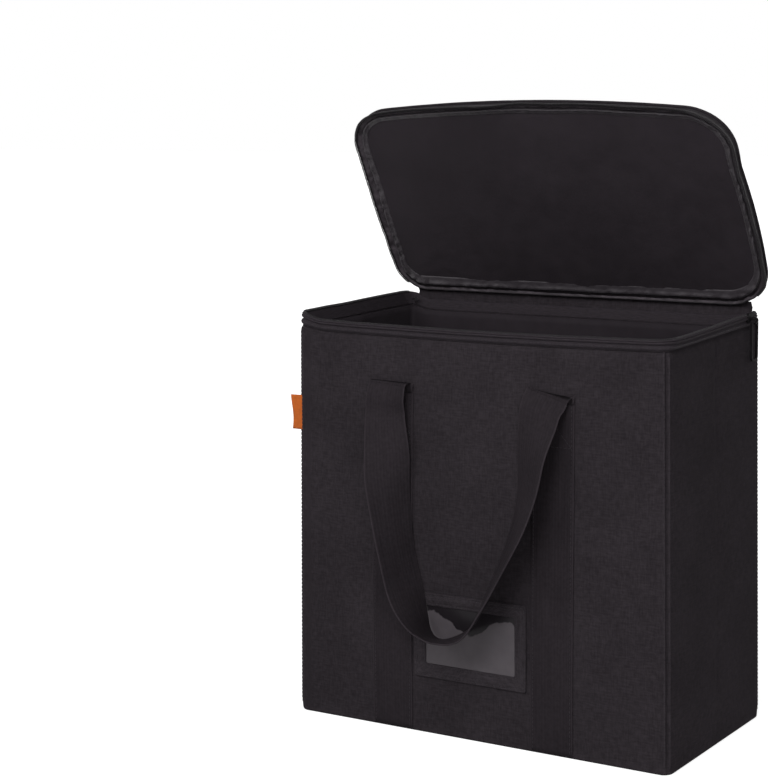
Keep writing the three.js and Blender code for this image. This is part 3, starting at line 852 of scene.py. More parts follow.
def lid_shell():
    def height_of(x, v):
        return LID_TOP - 0.0004 + 0.0016 * lid_dome(x, v) + 0.0003 * ripple(x, v, 0.05, 4.4)

    rings = shrink_rings(lid_loop(0.0004), height_of, DISC_SHARES)
    made = welded(grid_piece("lid_shell", rings, cloth, loop_columns=True))
    thicken(made, CLOTH)
    dress(made, "lid", "outer_cloth", "lid_cloth")


def lid_lining():
    def height_of(x, v):
        away = lid_dome(x, v)
        soft = 0.0009 * ripple(x, v, 0.045, 14.2) + 0.0004 * ripple(x, v, 0.018, 8.8)
        left = np.exp(-((x + 0.13) ** 2 + (v - 0.03) ** 2) / 0.0016)
        crinkle = 0.0009 * ripple(x * 0.4, v, 0.006, 3.3) * left
        return -0.0007 - 0.0006 * away + (soft - 0.0008) * away**0.5 + crinkle * away**0.5

    rings = shrink_rings(lid_loop(0.0022), height_of, DISC_SHARES)
    made = welded(grid_piece("lid_inner_lining", np.array(rings)[:, ::-1], lining, loop_columns=True))
    thicken(made, 0.0006)
    dress(made, "lid", "lining_cloth", "lid_lining")


def edge_crinkle(x, v, seed):
    """Small puckers along the lid's edge, strongest down its sides."""
    sides = smooth(0.13, 0.168, abs(x)) * (0.45 + 0.55 * smooth(0.17, 0.10, v))
    fine = ripple(x, v, 0.0048, seed) + 0.6 * ripple(x, v, 0.011, seed + 2.0)
    return fine * (0.35 + 0.65 * sides)


def skirt_wave(x, v):
    """The tape's free edge waves along the front."""
    front = smooth(0.15, 0.185, v)
    flap = 0.0016 * smooth(-0.03, 0.0, x) * smooth(0.10, 0.06, x)
    return front * (0.0016 * ripple(x, v * 0, 0.05, 6.6) + 0.0004 + flap)


def skirt_ring(inset, height, flare, pucker=0.0):
    x, v = lid_loop(inset, edge_places)
    back = 1 - smooth(0.006, 0.03, v)
    spread = flare * (LID_FLARE + 0.0008 * ripple(x + v, v - x, 0.035, 2.9)) * (1 - back)
    spread = spread + pucker * edge_crinkle(x, v + 0.4 * height, 5.7)
    cx, cy, nx, ny = edge_places.T
    x = x + nx * spread
    v = v - ny * spread + flare * skirt_wave(x, v)
    low = 1 - 0.5 * (1 - smooth(0.008, 0.05, v)) if height < 0 else 1.0
    return lid_points(x, v, height * low)


# The skirt's outer face: inset, height, share of the flare, and pucker
SKIRT_OUTSIDE = [
    (0.0, LID_TOP - 0.0012, 0.0, 0), (0.0002, 0.0025, 0, 0), (0.0006, 0.0018, 0, 0),
    (0.0002, 0.001, 0, 0), (0.0, -0.001, 0.25, 0.0003), (0.0, -0.003, 0.55, 0.0006),
    (0.0, -0.005, 0.85, 0.0006), (0.0, LID_SKIRT_FOOT + 0.0014, 1.0, 0.0004),
    (0.0006, LID_SKIRT_FOOT + 0.001, 1.0, 0.0004), (0.0012, LID_SKIRT_FOOT + 0.0014, 1.0, 0.0006),
]
# Its inner face, painted lighter, with painted highlights on its creases
SKIRT_INSIDE = [
    (0.0014, -0.0046, 0.85, 0.0012), (0.0019, -0.0035, 0.65, 0.0016), (0.0024, -0.0024, 0.45, 0.0014),
    (0.0031, -0.0014, 0.15, 0.0008), (0.0036, 0.0002, 0.0, 0),
]
SKIRT_ROOT = [(0.0016, 0.0025, 0.0, 0), (0.0014, LID_TOP - 0.0012, 0.0, 0)]


def lid_tape():
    """The lid's zip tape: a band that stands round the lid's edge and flares a little."""
    rings = [skirt_ring(*row) for row in SKIRT_OUTSIDE + SKIRT_INSIDE + SKIRT_ROOT]
    made = grid_piece("lid_tape", rings, lid_edge_tape, loop_columns=True, loop_rows=True)
    # The inner face's rows are marked for painted highlights; the rest keep the darker, painted-shade
    # colour.
    wear_and_painted_light = [0.0] * len(SKIRT_OUTSIDE) + [1.0] * len(SKIRT_INSIDE) + [0.0] * len(SKIRT_ROOT)
    wear_and_painted_light_marks(made, np.repeat(wear_and_painted_light, len(edge_places)))
    dress(made, "lid", "zip_tape", "lid_zip_tape")


def lid_coil():
    ring = skirt_ring(0.0006, LID_SKIRT_FOOT + 0.0006, 1.0, 0.0004)
    path = zip_stretch(ring, edge_places)
    outs = np.zeros((len(edge_places), 3))
    outs[:, 0] = edge_places[:, 2]
    outs -= edge_places[:, 3:4] * LID_ALONG
    ways_out = zip_stretch(outs, edge_places)
    made = coil("lid_coil", path, ways_out, LID_OUT)
    dress(made, "lid", "zip_teeth", "lid_zip_teeth")


def lid_piping():
    x, v = lid_loop(-0.0003)
    ring = lid_points(x, v, LID_TOP - 0.0012)
    radius = 0.00125 + 0.0001 * ripple(ring[:, 0], ring[:, 2], 0.01, 1.7)
    made = tube("lid_piping", ring, radius, cloth, looped=True, up=LID_OUT)
    dress(made, "lid", "outer_cloth", "lid_edge_piping")


# Share of the binding's width from its outer edge, and its height
BINDING_PROFILE = [
    (0.0, 0.05), (0.05, 0.55), (0.14, 0.95), (0.26, 1.0), (0.38, 0.8), (0.5, 0.5), (0.66, 0.34),
    (0.84, 0.2), (1.0, 0.02),
]


def lid_binding():
    """The bound seam round the inside of the lid: a puckered bead that slopes to the lining."""
    rings = []
    for share, lift in BINDING_PROFILE:
        inset = 0.0026 + 0.0054 * share
        x, v = lid_loop(inset, edge_places)
        back = 1 - smooth(0.02, 0.05, v)
        v = v + back * (0.0028 + 0.0034 * share)
        pucker = edge_crinkle(x, v + 0.5 * share * 0.006, 4.1)
        sway = 0.0008 * ripple(x, v, 0.03, 8.3)
        n = -0.0013 - 0.0023 * lift - 0.0019 * pucker * (0.25 + lift) * min(1.0, 6 * (1 - share))
        n = np.clip(n, -0.0044, -0.0011)
        rings.append(lid_points(x + sway, v + sway, n))
    top = np.array(rings)
    under = top[::-1] + LID_OUT * 0.0009
    closed = np.concatenate([top, under])[:, ::-1]
    made = grid_piece("lid_binding", closed, binding, loop_rows=True, loop_columns=True)
    dress(made, "lid", "zip_tape", "lid_seam_binding")


def hinge_fabric():
    """The cloth strip that joins the lid to the back of the rim."""
    case_part = [(0.0906, 0.3405), (0.0914, 0.3435), (0.0915, 0.347), (0.0914, 0.3505)]
    lid_part = [(-0.0004, 0.0006), (0.0010, 0.0004), (0.0030, 0.0003), (0.0055, 0.0002)]
    columns = np.linspace(*HINGE_ENDS, 90)
    gather = smooth(0.13, 0.158, abs(columns))
    rows = []
    for y, z in case_part:
        wave = 0.0003 * ripple(columns, z, 0.02, 5.5)
        wave = wave - 0.0016 * gather * (0.5 + 0.5 * ripple(columns, z, 0.007, 9.5))
        rows.append(np.column_stack([columns, y + wave, np.full(90, z)]))
    for v, n in lid_part:
        wave = 0.0003 * ripple(columns, v + 0.4, 0.02, 5.5)
        rows.append(lid_points(columns, v, n + wave))
    made = grid_piece("hinge_fabric", rows, cloth)
    wear_and_painted_light_marks(made, np.full(len(made.data.vertices), 0.2))
    thicken(made, 0.0009, 0.0)
    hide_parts("lid_hinge_strip", "lid_hinge_flap")
    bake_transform(made)


# Webbing
def webbing_profile():
    """Half outline across the webbing as (across, out), its selvedges a little thicker."""
    half = WEBBING_WIDTH / 2
    selvedge = [(0.9, 1.0), (0.94, 1.08), (0.975, 0.9), (0.995, 0.45)]
    marks = [(-1.0, 0.0)] + [(-x, h) for x, h in selvedge[::-1]]
    marks += [(x, 0.94) for x in np.linspace(-0.84, 0.84, 13)] + selvedge
    top = [(x * half, h) for x, h in marks]
    under = [(-x * half, -h) for x, h in marks]
    return np.array(top + under)


PROFILE = webbing_profile()


def ribbon(name, middles, wides, outs, material, creases=0.0):
    """Webbing through a row of middles, with its way across and its way out at each. It is lighter
    along its selvedges, and darker with painted shade in the creases of its folds."""
    middles, wides, outs = (np.asarray(a, float) for a in (middles, wides, outs))
    half = WEBBING_THICKNESS / 2
    across = PROFILE[:, 0][None, :, None] * wides[:, None]
    out = half * PROFILE[:, 1][None, :, None] * outs[:, None]
    made = grid_piece(name, middles[:, None] + across + out, material, loop_columns=True, caps=True)
    edge = smooth(0.93, 0.985, abs(PROFILE[:, 0]) / (WEBBING_WIDTH / 2))
    painted_shade = np.broadcast_to(creases, len(middles))
    wear_and_painted_light_marks(made, edge[None, :] - painted_shade[:, None])
    return made


def strap_middle(face, sign, z):
    """Where a strap's middle runs: the front ones are sewn on a little askew."""
    if face == "back":
        return np.full(np.shape(z), sign * HALF_SPACING)
    if sign < 0:
        askew = 0.0027 * (1 - smooth(0.10, 0.30, z))
    else:
        askew = 0.0030 - 0.0006 * smooth(0.05, 0.30, z)
    return sign * HALF_SPACING - askew


def strap(face, side):
    sign_y = -1 if face == "front" else 1
    sign_x = -1 if side == "left" else 1
    heights = np.linspace(0.0016, STRAP_TOP - 0.0017, 76)
    x = strap_middle(face, sign_x, heights)
    x = x + 0.0004 * ripple(x * 0, heights, 0.08, 1.3)
    out = half_depth_at(heights) + front_swell(x, heights) + WEBBING_THICKNESS / 2 - 0.0001
    tuck = np.clip((0.006 - heights) / 0.006, 0, 1) ** 2
    middles = np.column_stack([x, sign_y * (out - 0.002 * tuck), heights])
    wides = np.tile([-sign_y, 0.0, 0.0], (len(heights), 1))
    outs = np.tile([0.0, sign_y, 0.0], (len(heights), 1))
    made = ribbon(face + "_" + side + "_webbing", middles, wides, outs, webbing)
    dress(made, "case", "webbing", face + "_" + side + "_strap")


# The front handle from its left end: across as a share of the half spacing, down as a share of the
# drop, and turn of the webbing as a share of a right angle
HANDLE_SHARES = [
    (-1.039, 0.014, -0.089), (-1.047, 0.137, 0.032), (-0.982, 0.263, 0.248), (-0.934, 0.395, 0.543),
    (-0.874, 0.532, 0.704), (-0.794, 0.667, 0.783), (-0.698, 0.788, 0.791), (-0.58, 0.883, 0.963),
    (-0.429, 0.954, 1.175), (-0.183, 0.953, 1.039), (0.089, 0.907, 0.851), (0.292, 0.78, 0.737),
    (0.495, 0.636, 0.671), (0.673, 0.487, 0.562), (0.783, 0.343, 0.435), (0.826, 0.207, 0.303),
    (0.857, 0.108, 0.128), (0.88, 0.048, 0.05), (0.915, 0.01, 0.03),
]


def stand_off(share):
    """How much further out the handle hangs a little below its folds."""
    return 0.0045 * smooth(0.0, 0.07, share) * (1 - smooth(0.2, 0.5, share))


def catmull(rows, steps):
    """A smooth curve through rows of numbers."""
    rows = np.array(rows, float)
    padded = np.vstack([2 * rows[0] - rows[1], rows, 2 * rows[-1] - rows[-2]])
    made = []
    for i in range(len(rows) - 1):
        a, b, c, d = padded[i : i + 4]
        for t in np.linspace(0, 1, steps, endpoint=False):
            bend = (2 * a - 5 * b + 4 * c - d) * t**2 + (3 * b - a - 3 * c + d) * t**3
            made.append(0.5 * (2 * b + (c - a) * t + bend))
    made.append(rows[-1])
    return np.array(made)


def fold_sections(face, sign, end, wide):
    """The webbing comes up off its strap and turns over to hang askew: middles, ways across, out."""
    root = float(strap_middle(face, sign, STRAP_TOP))
    strap_out = half_depth_at(STRAP_TOP) + 1.5 * WEBBING_THICKNESS + 0.0001
    middle, radius = (strap_out - end[1]) / 2, (-end[1] - strap_out) / 2
    top = STRAP_TOP - 0.0004 - WEBBING_THICKNESS / 2 - radius
    flat = np.array([np.sign(wide[0]), 0.0, 0.0])
    sections = []
    for turn in [-20, *np.linspace(0, 180, 9)]:
        angle = math.radians(max(turn, 0))
        share = max(turn, 0) / 180
        lower = 0.006 if turn < 0 else 0.0
        height = top + radius * math.sin(angle) - lower
        x = root + (end[0] - root) * share
        place = np.array([x, -middle + radius * math.cos(angle), height])
        across = flat + (wide - flat) * share
        across /= np.linalg.norm(across)
        sections.append((place, across, -np.array([0, math.cos(angle), math.sin(angle)])))
    return sections


def handle_sections(loose):
    """Middles, ways across and ways out of the hanging front handle, from left to right. loose is
    the share of the stand-off that it has."""
    table = [(a * HALF_SPACING, d * HANDLE_DROP, t) for a, d, t in HANDLE_SHARES]
    x, drop, turn = catmull(table, 7).T
    ways = np.gradient(np.column_stack([x, -drop]), axis=0)
    ways /= np.linalg.norm(ways, axis=1)[:, None]
    angle = turn * math.pi / 2
    wides = np.column_stack([-ways[:, 1] * np.cos(angle), np.sin(angle), ways[:, 0] * np.cos(angle)])
    along = np.column_stack([ways[:, 0], np.zeros(len(x)), ways[:, 1]])
    outs = np.cross(along, wides)
    reach = WEBBING_WIDTH / 2 * abs(wides[:, 1]) + WEBBING_THICKNESS / 2 * abs(outs[:, 1])
    z = HANDLE_AXIS.z - drop
    rest = half_depth_at(z) + HANDLE_REST + reach + loose * stand_off(drop / HANDLE_DROP)
    y = -np.maximum(rest, HANDLE_AXIS.y)
    return np.column_stack([x, y, z]), wides, outs


# Painted shade along the top of each fold: how much darker each section of a fold is painted.
FOLD_PAINTED_SHADE = [0, 0, 0, 0.6, 1.5, 1.5, 1.2, 0.3, 0]


def handle(face):
    """A handle with its two folds. The back one is the front one turned half round."""
    hanging = handle_sections(1.0 if face == "front" else 0.0)
    before = fold_sections(face, -1, hanging[0][0], hanging[1][0])
    after = fold_sections(face, 1, hanging[0][-1], hanging[1][-1])[::-1]
    rows = before[:-1] + list(zip(*hanging)) + after[1:]
    middles, wides, outs = (np.array([row[k] for row in rows]) for k in range(3))
    if face == "back":
        middles, wides, outs = (a * [-1, -1, 1] for a in (middles, wides, outs))
    # Painted shade on the tops of the folds at both ends of the handle.
    creases = np.zeros(len(rows))
    creases[: len(FOLD_PAINTED_SHADE)] = FOLD_PAINTED_SHADE
    creases[-len(FOLD_PAINTED_SHADE) :] = FOLD_PAINTED_SHADE[::-1]
    made = ribbon(face + "_handle_webbing", middles, wides, outs, webbing, creases)
    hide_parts(face + "_handle")
    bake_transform(made)


# Label pocket
def panel_loop(low, high, radius, steps=5):
    """A rounded rectangle on the front as (x, z), anticlockwise seen from the front."""
    corners = [(high[0], low[1]), (high[0], high[1]), (low[0], high[1]), (low[0], low[1])]
    points = []
    for (x, z), start in zip(corners, (-90, 0, 90, 180)):
        cx = x - math.copysign(radius, x - (low[0] + high[0]) / 2)
        cz = z - math.copysign(radius, z - (low[1] + high[1]) / 2)
        for step in range(steps + 1):
            angle = math.radians(start + 90 * step / steps)
            points.append((cx + radius * math.cos(angle), cz + radius * math.sin(angle)))
    return np.array(points)


def dense_loop(loop, step):
    closed = np.vstack([loop, loop[:1]])
    return resample(closed, step)[:-1]


def match_loops(outer, inner, count):
    """Two loops with as many points each, paired by their share of the way round."""
    made = []
    for loop in (outer, inner):
        closed = np.vstack([loop, loop[:1]])
        run = lengths(closed)
        marks = np.linspace(0, run[-1], count, endpoint=False)
        made.append(np.column_stack([np.interp(marks, run, closed[:, k]) for k in (0, 1)]))
    return made


def front_points(x, z, out):
    """Places on the front panel, out from its swell."""
    x, z, out = np.broadcast_arrays(np.asarray(x, float), z, out)
    return np.stack([x, -(half_depth_at(z) + front_swell(x, z) + out), z], -1)


POCKET_LOW, POCKET_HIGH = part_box("label_pocket_frame")
POCKET_LOW.z += 0.0024
POCKET_HIGH.z += 0.0014
WINDOW_LOW = (-0.0455, 0.0615)
WINDOW_HIGH = (0.0395, 0.1115)
FILM_TUCK = 0.003
FILM_THICKNESS = 0.0003
# The lower edge of the film's dark patch, which is the top of its painted reflection: its height, and a
# wave that dips at the dip given last
REFLECTION_TOP = 0.0993
REFLECTION_WAVE_RISE = 0.0082
REFLECTION_WAVE_LEFT = 0.077
REFLECTION_WAVE_RIGHT = 0.066
REFLECTION_DIP = -0.002


def pocket_loop(inset, radius):
    low = (POCKET_LOW.x + inset, POCKET_LOW.z + inset)
    high = (POCKET_HIGH.x - inset, POCKET_HIGH.z - inset)
    return panel_loop(low, high, radius)


def pocket_panel():
    loop = dense_loop(pocket_loop(0.0, 0.0015), 0.003)
    centre = loop.mean(0)
    rings = []
    profile = [(1.0, -0.0003), (1.0, 0.0003), (0.99, 0.0006), (0.8, 0.0006), (0.5, 0.0006), (0.02, 0.0006)]
    for share, out in profile:
        ring = centre + (loop - centre) * share
        rings.append(front_points(ring[:, 0], ring[:, 1], out))
    made = grid_piece("label_pocket_panel", rings, pocket_cloth, loop_columns=True, caps=True)
    dress(made, "case", "outer_cloth", "label_pocket_backing")


# Share of the way from the pocket's edge to its window, and distance out: a hem with two rows of
# stitches pulled in
HEM_PROFILE = [
    (0.0, 0.0007), (0.0, 0.0013), (0.012, 0.0018), (0.1, 0.0019), (0.17, 0.0015), (0.24, 0.0019),
    (0.5, 0.0018), (0.72, 0.0019), (0.8, 0.0015), (0.88, 0.0019), (0.97, 0.0018), (1.0, 0.0014),
    (1.0, 0.0010), (0.5, 0.0009),
]


def pocket_frame():
    inner = panel_loop(WINDOW_LOW, WINDOW_HIGH, 0.0014)
    outer, inner = match_loops(pocket_loop(0.0, 0.0016), inner, 240)
    rings = []
    for share, out in HEM_PROFILE:
        ring = outer + (inner - outer) * share
        bumps = 0.00012 * ripple(ring[:, 0], ring[:, 1], 0.008, 3.9)
        rings.append(front_points(ring[:, 0], ring[:, 1], out + bumps))
    made = grid_piece("label_pocket_hem", rings, pocket_cloth, loop_columns=True, loop_rows=True)
    dress(made, "case", "outer_cloth", "label_pocket_frame")


def window_film():
    """The clear film, tucked under the hem and bulging a little between."""
    xs = np.linspace(WINDOW_LOW[0] - FILM_TUCK, WINDOW_HIGH[0] + FILM_TUCK, 60)
    zs = np.linspace(WINDOW_LOW[1] - FILM_TUCK, WINDOW_HIGH[1] + FILM_TUCK, 34)
    x, z = np.meshgrid(xs, zs)
    across = (x - xs[0]) / (xs[-1] - xs[0]) * 2 - 1
    up = (z - zs[0]) / (zs[-1] - zs[0]) * 2 - 1
    bulge = np.clip(1 - across**4, 0, 1) * np.clip(1 - up**4, 0, 1)
    out = 0.00095 + 0.0003 * bulge + 0.00012 * ripple(x, z, 0.02, 7.7) * bulge
    near, far = front_points(x, z, out), front_points(x, z, out - FILM_THICKNESS)
    made = slab("label_window_film", near, far, film_material())
    dress(made, "case", "clear_window", "label_window")


def film_material():
    """Clear film. Below a wavy line its light grey is a painted reflection of the surroundings;
    above it, a curved dark patch along its top is the clear film's dark, also painted shade where the
    handle's shadow falls.
    """
    shader = Shader("clear_window", 0.22, 0.1)
    place = shader.place()
    split = shader.node("ShaderNodeSeparateXYZ", {0: place})
    from_dip = shader.math("SUBTRACT", split.outputs[0], REFLECTION_DIP)
    left = shader.product(from_dip, -2 * math.pi / REFLECTION_WAVE_LEFT)
    right = shader.product(from_dip, 2 * math.pi / REFLECTION_WAVE_RIGHT)
    wave = shader.math("COSINE", shader.math("MAXIMUM", left, right))
    line = shader.math("ADD", shader.product(wave, -REFLECTION_WAVE_RISE), REFLECTION_TOP)
    soft = shader.noise(place, 1 / 0.009, 2.0)
    line = shader.math("ADD", line, shader.vary(soft, -0.0015, 0.0015))
    above = shader.math("SUBTRACT", split.outputs[2], line)
    # The dark patch's share: above the line the film is dark, painted shade where the handle's shadow
    # falls; below it the colour is a painted reflection, a little uneven.
    clear = shader.ramp(above, -0.0006, 0.0008)
    reflection_unevenness = shader.vary(shader.noise(place, 1 / 0.01, 3.0), 0.95, 1.05)
    colour = shader.mix(clear, shader.tint(REFLECTION_PAINTED_COLOUR, reflection_unevenness), (*CLEAR_AND_SHADED_COLOUR, 1))
    return shader.finished(colour, shader.bump(soft, 0.0003, 0.3))


# Tag
TAG_ROOT = -0.1700
TAG_BEND = 0.0008
TAG_HALF_GAP = 0.00045


def side_tag():
    """A folded ribbon caught in the front left corner seam."""
    low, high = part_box("side_tag")
    heights = np.linspace(low.z, high.z, 16)
    middle_y = (low.y + high.y) / 2
    bend = low.x + TAG_BEND
    layer = TAG_ROOT + (bend - TAG_ROOT) * np.linspace(0, 1, 8)
    turns = np.radians(np.linspace(-60, 60, 5))
    path = [(x, -TAG_HALF_GAP) for x in layer]
    path += [(bend - TAG_BEND * math.cos(turn), 0.0006 * math.sin(turn)) for turn in turns]
    path += [(x, TAG_HALF_GAP) for x in layer[::-1]]
    rows = []
    for z in heights:
        up = (z - low.z) / (high.z - low.z)
        row = []
        for x, y in path:
            reach = (TAG_ROOT - x) / (TAG_ROOT - low.x)
            curl = 0.0012 * reach * math.sin(3 * up + 0.6) - 0.0006 * reach
            row.append((x + 0.0005 * math.sin(5 * up) * reach, middle_y + y + curl, z))
        rows.append(row)
    made = grid_piece("side_tag_ribbon", rows, tag_cloth)
    thicken(made, 0.00035, 0.0)
    dress(made, "case", "tag_cloth", "side_tag")


# Sewing
STITCH_LENGTH = 0.0027
STITCH_PITCH = 0.0034
STITCH_RADIUS = 0.00026
# Share of a stitch's length, thickness and lift
STITCH_SHAPE = [
    (-0.5, 0.35, -0.6), (-0.42, 0.8, -0.1), (-0.2, 1.0, 0.25),
    (0.2, 1.0, 0.25), (0.42, 0.8, -0.1), (0.5, 0.35, -0.6),
]


def stitch_row(path, outs, pitch=STITCH_PITCH):
    """Points and faces of a row of stitches along a path, each a little arched thread."""
    both = np.concatenate([np.asarray(path, float), np.asarray(outs, float)], axis=1)
    run = lengths(both[:, :3])
    count = max(1, int(run[-1] / pitch))
    points, faces = [], []
    sides = 6
    angles = np.linspace(0, 2 * np.pi, sides, endpoint=False)
    for k in range(count):
        middle = (k + 0.5) * run[-1] / count
        marks = np.array([middle - STITCH_LENGTH / 2, middle, middle + STITCH_LENGTH / 2])
        at = np.column_stack([np.interp(marks, run, both[:, c]) for c in range(6)])
        way = at[2, :3] - at[0, :3]
        way /= np.linalg.norm(way)
        out = at[1, 3:] / np.linalg.norm(at[1, 3:])
        side = np.cross(way, out)
        first = len(points)
        for along, thick, lift in STITCH_SHAPE:
            centre = at[1, :3] + way * along * STITCH_LENGTH + out * STITCH_RADIUS * lift
            for angle in angles:
                ring = math.cos(angle) * side + 0.85 * math.sin(angle) * out
                points.append(centre + ring * STITCH_RADIUS * thick)
        faces += grid_faces(len(STITCH_SHAPE), sides, loop_columns=True, start=first)
        last = first + (len(STITCH_SHAPE) - 1) * sides
        faces.append(tuple(range(first, first + sides))[::-1])
        faces.append(tuple(range(last, last + sides)))
    return points, faces


def sewing(name, rows, body):
    """One piece for all the stitches that share a body."""
    points, faces = [], []
    for path, outs in rows:
        more_points, more_faces = stitch_row(path, outs)
        first = len(points)
        points += more_points
        faces += [tuple(i + first for i in face) for face in more_faces]
    made = mesh_piece(name, points, faces, thread)
    dress(made, body, "outer_cloth")


def corner_rows():
    """Stitches on both ridges of each upright corner seam."""
    rows = []
    heights = np.linspace(0.006, 0.333, 60)
    for sx in (-1, 1):
        for sy in (-1, 1):
            for offset in (-0.0021, 0.0021):
                angle = math.atan2(sy, sx) + offset / WALL_RADIUS
                place = np.array([[sx, sy, math.cos(angle), math.sin(angle)]])
                path = [wall_ring(place, z)[0] for z in heights]
                outs = np.tile([math.cos(angle), math.sin(angle), 0.0], (len(path), 1))
                rows.append((path, outs))
    return rows


def strap_point(face, x, z, out):
    sign = -1 if face == "front" else 1
    y = half_depth_at(z) + front_swell(x, z) + out
    return np.column_stack([x, sign * y, z])


def strap_rows():
    """Stitches down both edges of each strap, and a crossed box at its top."""
    rows = []
    out = WEBBING_THICKNESS - 0.00005
    edge = WEBBING_WIDTH / 2 - 0.0024
    box_low, box_high = 0.256, STRAP_TOP - 0.006
    for face in ("front", "back"):
        facing = np.array([0.0, -1.0 if face == "front" else 1.0, 0.0])
        lines = [((-edge, 0.004), (-edge, box_high)), ((edge, 0.004), (edge, box_high))]
        lines += [((-edge, box_high), (edge, box_high)), ((-edge, box_low), (edge, box_low))]
        lines += [((-edge, box_low), (edge, box_high)), ((-edge, box_high), (edge, box_low))]
        for side in (-1, 1):
            for (x0, z0), (x1, z1) in lines:
                z = np.linspace(z0, z1, 30)
                x = np.linspace(x0, x1, 30) + strap_middle(face, side, z)
                rows.append((strap_point(face, x, z, out), np.tile(facing, (30, 1))))
    return rows


def closed_row(path, outs):
    return np.vstack([path, path[:1]]), np.vstack([outs, outs[:1]])


def pocket_rows():
    """Two rows of stitches inside the pocket's edge, and one round its window."""
    low = (WINDOW_LOW[0] - 0.0018, WINDOW_LOW[1] - 0.0018)
    high = (WINDOW_HIGH[0] + 0.0018, WINDOW_HIGH[1] + 0.0018)
    loops = [
        (pocket_loop(0.0022, 0.0016), 0.00172),
        (pocket_loop(0.0048, 0.0010), 0.00172),
        (panel_loop(low, high, 0.0012), 0.0017),
    ]
    rows = []
    for loop, out in loops:
        x, z = dense_loop(loop, 0.002).T
        rows.append(closed_row(front_points(x, z, out), np.tile([0.0, -1.0, 0.0], (len(x), 1))))
    return rows


def rim_rows():
    outs = np.column_stack([rim_places[:, 2:], np.zeros(len(rim_places))])
    return [closed_row(rim_ring(0.33, 0.0010), outs)]


def lid_rows():
    """Stitches round the lid's tape, and round its top inside the piping."""
    outs = edge_places[:, 2:3] * [1.0, 0.0, 0.0] - edge_places[:, 3:4] * LID_ALONG
    rows = [closed_row(skirt_ring(-0.00005, 0.0005, 0.1), outs)]
    x, v = lid_loop(0.0034)
    top = LID_TOP + 0.0016 * lid_dome(x, v) - 0.0003
    rows.append(closed_row(lid_points(x, v, top), np.tile(LID_OUT, (len(x), 1))))
    return rows


# Stage
def seen_directly(tree):
    """1 for rays from the camera, on their own or by way of gloss or clear film, 0 for the rest."""
    path = tree.nodes.new("ShaderNodeLightPath")
    seen = path.outputs["Is Camera Ray"]
    for kind in ("Is Glossy Ray", "Is Transmission Ray"):
        either = tree.nodes.new("ShaderNodeMath")
        either.operation = "MAXIMUM"
        tree.links.new(seen, either.inputs[0])
        tree.links.new(path.outputs[kind], either.inputs[1])
        seen = either.outputs[0]
    return seen


def floor_material():
    shader = Shader("floor", 0.9, 0.1)
    shader.base.inputs["Base Color"].default_value = (0.5, 0.5, 0.5, 1)
    shader.base.inputs["Emission Color"].default_value = (1, 1, 1, 1)
    from_case = shader.node("ShaderNodeVectorMath", {0: shader.place()}, operation="LENGTH")
    glow = shader.ramp(from_case.outputs["Value"], 0.45, 1.3, 0.78, 1.0)
    strength = shader.product(glow, seen_directly(shader.tree))
    shader.feed(shader.base.inputs["Emission Strength"], strength)
    return shader.material


def world_light():
    world = bpy.data.worlds.new("studio")
    bpy.context.scene.world = world
    world.use_nodes = True
    tree = world.node_tree
    background = tree.nodes["Background"]
    background.inputs["Color"].default_value = (1, 1, 1, 1)
    level = tree.nodes.new("ShaderNodeMapRange")
    level.inputs[3].default_value = ROOM_LIGHT
    level.inputs[4].default_value = 1.0
    tree.links.new(seen_directly(tree), level.inputs[0])
    tree.links.new(level.outputs[0], background.inputs["Strength"])


ROOM_LIGHT = 0.47
# Name, place, aim, size and power
LAMPS = [
    ("key", (-1.5, -3.2, 2.2), (0, -0.1, 0.2), 1.0, 28),
    ("fill", (1.8, -2.4, 0.9), (0, -0.1, 0.2), 1.0, 14),
    ("front", (0.25, -1.2, 1.15), (0, -0.1, 0.2), 0.6, 10),
    ("top", (0.3, -0.3, 3.2), (0, 0, 0.2), 1.8, 7),
]


def lamp(name, place, target, size, power):
    data = bpy.data.lights.new(name, "AREA")
    data.shape = "DISK"
    data.size = size
    data.energy = power
    made = bpy.data.objects.new(name, data)
    bpy.context.scene.collection.objects.link(made)
    made.location = place
    made.rotation_mode = "QUATERNION"
    made.rotation_quaternion = (Vector(target) - Vector(place)).to_track_quat("-Z", "Y")


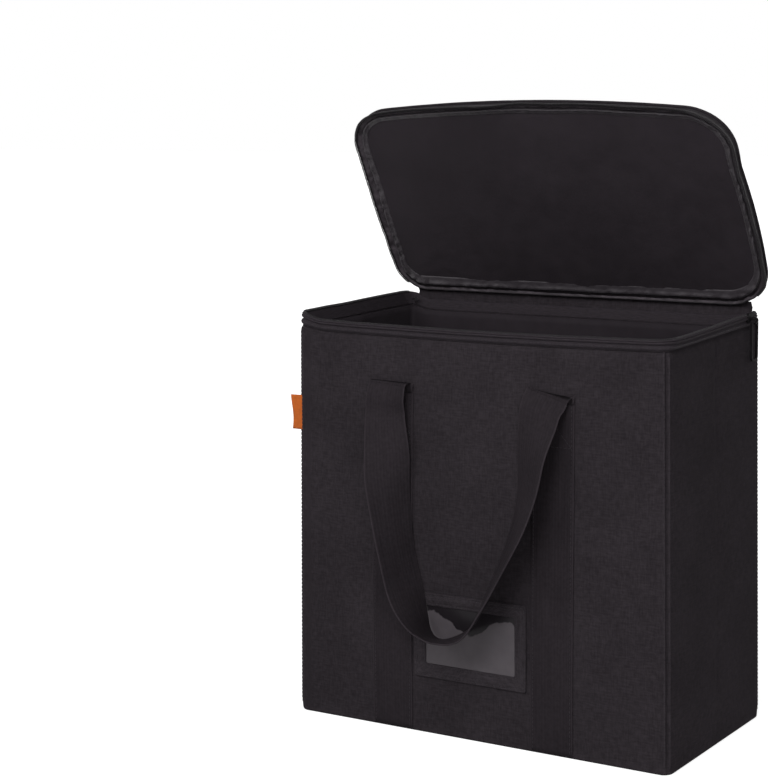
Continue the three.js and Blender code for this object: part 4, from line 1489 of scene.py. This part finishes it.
def stage():
    points = [(12.0 * x, 12.0 * y, 0) for x, y in ((-1, -1), (1, -1), (1, 1), (-1, 1))]
    floor = mesh_piece("floor", points, [(0, 1, 2, 3)], floor_material())
    world_light()
    for row in LAMPS:
        lamp(*row)


def camera():
    level = Vector((-math.sin(CAMERA_YAW), math.cos(CAMERA_YAW), 0))
    forward = level * math.cos(CAMERA_PITCH) + Vector((0, 0, math.sin(CAMERA_PITCH)))
    right = Vector((math.cos(CAMERA_YAW), math.sin(CAMERA_YAW), 0))
    up = right.cross(forward)
    turned_right = math.cos(CAMERA_ROLL) * right + math.sin(CAMERA_ROLL) * up
    turned_up = -math.sin(CAMERA_ROLL) * right + math.cos(CAMERA_ROLL) * up
    data = bpy.data.cameras.new("camera")
    data.sensor_width = SENSOR
    data.lens = FOCAL_PIXELS * SENSOR / IMAGE_HEIGHT
    made = bpy.data.objects.new("camera", data)
    bpy.context.scene.collection.objects.link(made)
    basis = Matrix((turned_right, turned_up, -forward)).transposed()
    made.matrix_world = Matrix.Translation(CAMERA_PLACE) @ basis.to_4x4()
    bpy.context.scene.camera = made


def remaining_nodes():
    """Finishes for the CAD nodes that stay."""
    finishes = {"lid_board": board}
    metals = [side + part for side in ("left", "right") for part in ("_zip_slider", "_zip_pull")]
    finishes.update({name: metal for name in metals})
    finishes.update({side + "_zip_end_stop": teeth for side in ("left", "right")})
    for name, material in finishes.items():
        mesh = nodes[name].data
        mesh.materials.clear()
        mesh.materials.append(material)


camera()
stage()
case_shell()
case_lining()
wall_boards()
base_panel()
rim_band()
rim_piping()
rim_coil()
lid_shell()
lid_lining()
lid_tape()
lid_coil()
lid_piping()
lid_binding()
hinge_fabric()
for face in ("front", "back"):
    for side in ("left", "right"):
        strap(face, side)
    handle(face)
pocket_panel()
pocket_frame()
window_film()
side_tag()
sewing("case_sewing", corner_rows() + strap_rows() + pocket_rows() + rim_rows(), "case")
sewing("lid_sewing", lid_rows(), "lid")
remaining_nodes()

scene = bpy.context.scene
scene.view_settings.view_transform = "Standard"
